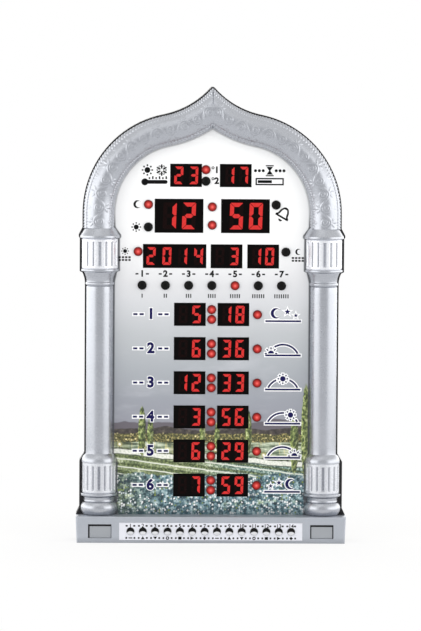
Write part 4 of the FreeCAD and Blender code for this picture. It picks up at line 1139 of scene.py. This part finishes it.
plateSizes = {
    "bevel": 0.3,
    # the black strip of painted shadow round each plate: its width at the top, how far it stands before and
    # behind the plate, and its width at the left and the right side
    "shadowTop": 1.8,
    "shadowFront": 0.12,
    "shadowBack": 0.5,
    "shadowSides": {"left": (1.3, 0.3), "right": (1.0, 0.9)},
}


def bevelBox(low, high, bevel):
    shaped = bmesh.new()
    bmesh.ops.create_cube(shaped, size=1, matrix=Matrix.LocRotScale((low + high) / 2, None, high - low))
    bmesh.ops.bevel(shaped, geom=shaped.edges[:], offset=bevel * mm, segments=3, profile=0.5, affect="EDGES")
    points = [vert.co / mm for vert in shaped.verts]
    faces = [[vert.index for vert in face.verts] for face in shaped.faces]
    shaped.free()
    return points, faces


def makePlates():
    black = plastic("shadowBlack", (0.012, 0.012, 0.014, 1), 0.5, 1.5, 0.01, shine=0.2)
    grey = silverPaint("plateGrey", tint(166, 170, 176), 0.5, 0.42, 0.06)
    for side, (first, last) in plateSizes["shadowSides"].items():
        node = "blanking_plate_" + side
        low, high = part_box(node)
        piece("plate_" + side, bevelBox(low, high, plateSizes["bevel"]), grey, replaces=[node])
        low, high = low / mm, high / mm
        # painted shadow: a black strip round the top and the sides of each plate's recess
        top = high.z - plateSizes["shadowTop"]
        shadowOutline = [(low.x, low.z), (low.x, high.z), (high.x, high.z), (high.x, low.z), (high.x - last, low.z),
                (high.x - last, top), (low.x + first, top), (low.x + first, low.z)]
        part = flatPrint([shadowOutline], low.y - plateSizes["shadowFront"], low.y + plateSizes["shadowBack"])
        piece("seal_" + side, part, black)


makePlates()
print("plates made")

# Prints on the panel and the key strip: plain numbers and signs, as lists of outlines.

inkSizes = {  # depths from the panel's face, and from the strip's
    "front": -0.07,
    "back": 0.02,
    "stripFront": -0.06,
    "halo": -0.04,
    "haloWide": 1.0,
    "haloStep": 0.0005,  # each rim lies this much behind the last
}
figureSizes = {  # height, and how much bolder than plain
    "row": (10.0, 0.6),
    "rowHalo": (10.0, 1.3),
    "weekday": (6.0, 0.36),
    "unit": (6.0, 0.4),
    "key": (3.6, 0.08),
}
labelPlaces = {  # of the rows across the panel, of the others up from their middles
    "rowNumber": -58.0,
    "rowSign": 68.5,
    "weekday": 10.9,
    "tally": -10.0,
    "key": 5.3,
    "keySign": -6.3,
}
keySignSize = 1.2
dashes = {  # from where to where across, and half the height, on both sides of a number
    "row": [(6.9, 10.9, 0.95), (12.9, 16.9, 0.95)],
    "weekday": [(3.6, 6.4, 0.7)],
    "key": [(2.7, 4.6, 0.75)],
    "keySign": [(2.6, 3.9, 0.7)],
}
tally = {"pitch": 2.1, "half": (0.5, 1.9)}
nightSigns = {  # the times with a moon: its place, then each star's radius and place
    0: ((-7, 1.4), (3.2, 4, 2.8), (2.3, 12, -0.6)),
    5: ((8, 1.4), (2.9, -3, 2.6), (2.3, -11, -0.6)),
}
daySizes = {
    "ground": (-17.0, -7.0, 17.0, -5.3),
    "moon": 5.0,
    "sun": 5.0,
    "halfSun": 6.0,
    "foot": -4.4,  # of the sun's arc, then half its width, its height and half its line
    "half": 14.0,
    "rise": 8.6,
    "thick": 0.85,
    "places": {1: -11.5, 2: 0.0, 3: 7.6, 4: 11.5},  # of the sun, across
    "high": (2, 3),  # the times when the whole sun stands on the arc
    "clear": (32, 24),  # degrees of the arc left free beside a half sun and a whole one
    "shortest": 8,  # degrees of arc that are worth a line
}
bellHalves = (  # the right half of its outline and of the hollow in it
    [(1.06, -0.72), (1.06, -0.46), (0.8, -0.2), (0.7, 0.36), (0.44, 0.8), (0.16, 0.98)],
    [(0.66, -0.46), (0.52, -0.16), (0.43, 0.3), (0.22, 0.66)],
)


def move(loops, x, z, turn=0.0, size=1.0):
    c, s = math.cos(math.radians(turn)) * size, math.sin(math.radians(turn)) * size
    return [[(x + c * a - s * b, z + s * a + c * b) for a, b in loop] for loop in loops]


def dashesOf(name):
    return [bar(side * a, -up, side * b, up) for side in (-1, 1) for a, b, up in dashes[name]]


def rays(r, inner, width, count, first=0.0, step=45.0):
    ray = bar(r * inner, -r * width / 2, r, r * width / 2)
    return [loop for i in range(count) for loop in move([ray], 0, 0, first + step * i)]


def sun(r):
    return [circle(r * 0.52, count=24)] + rays(r, 0.7, 0.26, 8)


def halfSun(r):
    return [circle(r * 0.48, count=16, last=180)] + rays(r, 0.66, 0.2, 5)


def crescent(r):
    return [circle(r, (0, 0), 30, 40, 320) + circle(r * 0.8, (r * 0.38, 0), 30, 52, 308)[::-1]]


def star(r, points=5):
    turns = [math.radians(90 + 180 * i / points) for i in range(2 * points)]
    return [[(r * a * math.cos(t), r * a * math.sin(t)) for a, t in zip((1, 0.42) * points, turns)]]


def snowflake(r):
    leaf = [(0.5, 0.17), (0.68, 0.17), (0.88, 0.42), (0.76, 0.42)]
    leaves = [leaf, [(a, -b) for a, b in leaf]]
    return rays(r, 0.26, 0.27, 6, 30, 60) + [
        loop for turn in range(30, 390, 60) for loop in move(leaves, 0, 0, turn, r)]


def thermometer(long, bulb=3.3, thick=1.8):
    # lying, with its bulb at the left and marks above
    neck, start = math.degrees(math.asin(thick / bulb)), 7 - long / 2
    tube = circle(bulb, (bulb - long / 2, 0), 24, neck, 360 - neck)
    tube += circle(thick, (long / 2 - thick, 0), 8, -90, 90)
    return [tube] + [bar(start + 3.2 * i, 2.7, start + 1.4 + 3.2 * i, 4.5 + 0.9 * (i % 2)) for i in range(6)]


def hourglass(high):
    w, t = high * 0.36, high * 0.1
    low = t * 1.5 - high / 2
    glass = [(-w * 0.8, low), (w * 0.8, low), (t * 0.5, 0), (w * 0.8, -low), (-w * 0.8, -low), (-t * 0.5, 0)]
    return [bar(-w, z, w, z + t) for z in (-high / 2, high / 2 - t)] + [glass]


def dots(r, first, pitch):  # three on both sides
    return [circle(r, (side * (first + pitch * k), 0), 12) for side in (-1, 1) for k in range(3)]


def hoop(r, inner, count=16):
    return [circle(r, count=count), circle(inner, count=count)]


def timeBar(long, high, share, t=1.35):
    # an outlined bar, part filled
    x, z = long / 2, high / 2
    filled = 2 * t - x + (long - 4 * t) * share
    inside = bar(1.6 * t - x, 1.6 * t - z, filled, z - 1.6 * t)
    return [bar(-x, -z, x, z), bar(t - x, t - z, x - t, z - t), inside]


def bell(r):
    # an outlined bell with its clapper
    outlines = [mirrored(half) for half in bellHalves]
    return move(outlines, 0, 0, 0, r) + [circle(r * 0.3, (0, -r * 0.98), 12, 180, 360)]


def calendar(wide, rows=2):
    x, z = wide / 4, -wide / 4 * 0.85
    return [bar(x * (i - 2), z * j, x * (i - 1.3), z * (j + 0.66)) for i in range(4) for j in range(rows)]


panelSigns = {  # signs beside a display: across the panel, and up from the display's middle
    "temperature": [
        (sun(5.4), -62.1, 4.9),
        (snowflake(5.4), -48.5, 4.9),
        (thermometer(25.0), -55.3, -6.4),
        (hoop(1.4, 0.65), 0.5, 7.3),
        (hoop(1.4, 0.65), 0.5, -3.1),
        (hourglass(10.6) + dots(1.45, 6.2, 3.7), 54.6, 4.8),
        (timeBar(27.0, 7.0, 0.6), 54.6, -5.6),
    ],
    "hours": [
        (crescent(3.8), -71.5, 10.9),
        (sun(4.6), -72.5, -10.9),
        (move(bell(6.4), 0, 0, -30), 68.2, 2.6),
    ],
    "year": [
        (sun(3.6), -83.0, 4.6),
        (calendar(12.5), -83.0, -0.4),
        (crescent(2.9), 82.5, 4.6),
        (calendar(12.5), 82.5, -0.4),
    ],
}
unitNumbers = {"1": (4.1, 5.1), "2": (4.1, -5.3)}  # placed in the same way by the temperature
keySigns = [  # plain signs for what the keys do, used in turn
    [bar(-1.5, -0.4, 1.5, 0.4)],
    [[(-1.5, -1.0), (1.5, -1.0), (0.0, 1.3)]],
    [[(-1.5, 1.0), (1.5, 1.0), (0.0, -1.3)]],
    hoop(1.35, 0.6),
    [bar(-1.3, -1.1, 1.3, 1.1)],
    [[(-1.4, -1.3), (1.5, 0.0), (-1.4, 1.3)]],
    [[(-1.5, 0), (0, -1.4), (1.5, 0), (0, 1.4)]],
]


def daySign(i):
    # where the sun or the moon stands over the horizon at one of the six times
    ground = [bar(*daySizes["ground"])]
    if i in nightSigns:
        moon, *stars = nightSigns[i]
        ground += move(crescent(daySizes["moon"]), *moon)
        return ground + [move(star(r), x, z)[0] for r, x, z in stars]
    at, half, rise, thick = daySizes["places"][i], daySizes["half"], daySizes["rise"], daySizes["thick"]
    radius = (half**2 + rise**2) / (2 * rise)
    middle = daySizes["foot"] + rise - radius
    edge = math.degrees(math.acos(half / radius))
    high = i in daySizes["high"]
    clear = daySizes["clear"][high]
    if high:
        sunAt = math.degrees(math.acos(at / radius))
        mark = move(sun(daySizes["sun"]), at, middle + math.sqrt(radius**2 - at**2))
    else:
        sunAt = edge if at > 0 else 180 - edge
        mark = move(halfSun(daySizes["halfSun"]), at, daySizes["foot"])
    arcs = []
    for first, last in ((edge, sunAt - clear), (sunAt + clear, 180 - edge)):
        if last - first > daySizes["shortest"]:
            outer, inner = (circle(radius + side, (0, middle), 14, first, last) for side in (thick, -thick))
            arcs.append(outer + inner[::-1])
    return ground + arcs + mark


def makePrints():
    dark, pale, blue = [], [], []
    front, back, halo = inkSizes["front"], inkSizes["back"], inkSizes["halo"]
    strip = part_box("key_strip")[0].y / mm

    def ink(loops, x, z, size=1.0, base=0.0):
        start = base + (inkSizes["stripFront"] if base else front)
        dark.append(flatPrint(move(loops, x, z, 0, size), start, base + back))

    def figures(parts, text, x, z, size, front=front, back=back):
        height, bold = figureSizes[size]
        parts.append(numberPrint(text, (x, z), height, front, back, bold))

    def edged(loops):  # navy with a pale rim
        blue.append(flatPrint(loops, front, back))
        for k, loop in enumerate(loops):
            pale.append(flatPrint([loop], halo + inkSizes["haloStep"] * k, back, inkSizes["haloWide"]))

    for i, (_, z) in enumerate(nodeMiddles("prayer_minute_displays")):
        x = labelPlaces["rowNumber"]
        figures(blue, str(i + 1), x, z, "row")
        figures(pale, str(i + 1), x, z, "rowHalo", halo)
        for dash in move(dashesOf("row"), x, z):
            edged([dash])
        edged(move(daySign(i), labelPlaces["rowSign"], z))
    for i, (x, z) in enumerate(nodeMiddles("weekday_lamps")):
        up = z + labelPlaces["weekday"]
        figures(dark, str(i + 1), x, up, "weekday")
        ink(dashesOf("weekday"), x, up)
        wide, tall = tally["half"]
        strokes = [tally["pitch"] * (k - i / 2) for k in range(i + 1)]
        ink([bar(at - wide, -tall, at + wide, tall) for at in strokes], x, z + labelPlaces["tally"])
    for display, signs in panelSigns.items():
        for sign, x, up in signs:
            ink(sign, x, middleOf("display_" + display)[1] + up)
    for text, (x, up) in unitNumbers.items():
        figures(dark, text, x, middleOf("display_temperature")[1] + up, "unit")
    for i, node in enumerate(keyNodes):
        x, z = middleOf(node)
        up = z + labelPlaces["key"]
        figures(dark, str(i + 1), x, up, "key", strip + inkSizes["stripFront"], strip + back)
        ink(dashesOf("key"), x, up, base=strip)
        sign = keySigns[i % len(keySigns)] + dashesOf("keySign")
        ink(sign, x, z + labelPlaces["keySign"], keySignSize, strip)
    inks = (
        ("black", dark, (6, 6, 8), 0.12),
        ("navy", blue, (20, 16, 78), 0.15),
        ("halo", pale, (248, 249, 252), 0.5),
    )
    for name, parts, colour, shine in inks:
        finish = plastic(name + "Ink", tint(*colour), 0.4, 2.0, 0.005, shine=shine)
        piece("print_" + name, merge(parts), finish)


makePrints()
print("prints made")

# Materials of the carried-over nodes.

nodeFinishes = {
    "plinth_shell": silverMatt,
    "rear_housing": darkHousing,
    "picture_panel": panelFinish,
    "key_strip": paleStrip,
    "main_board": boardGreen,
    "key_board": boardGreen,
    "control_board": boardGreen,
    "ribbon_cable": greyCable,
    "memory_cell": steel,
}
for name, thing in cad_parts.items():
    spare = displayFace if "display" in name else steel if "screws" in name else blackPart
    thing.data.materials.clear()
    thing.data.materials.append(nodeFinishes.get(name, spare))
print("carried-over nodes finished")
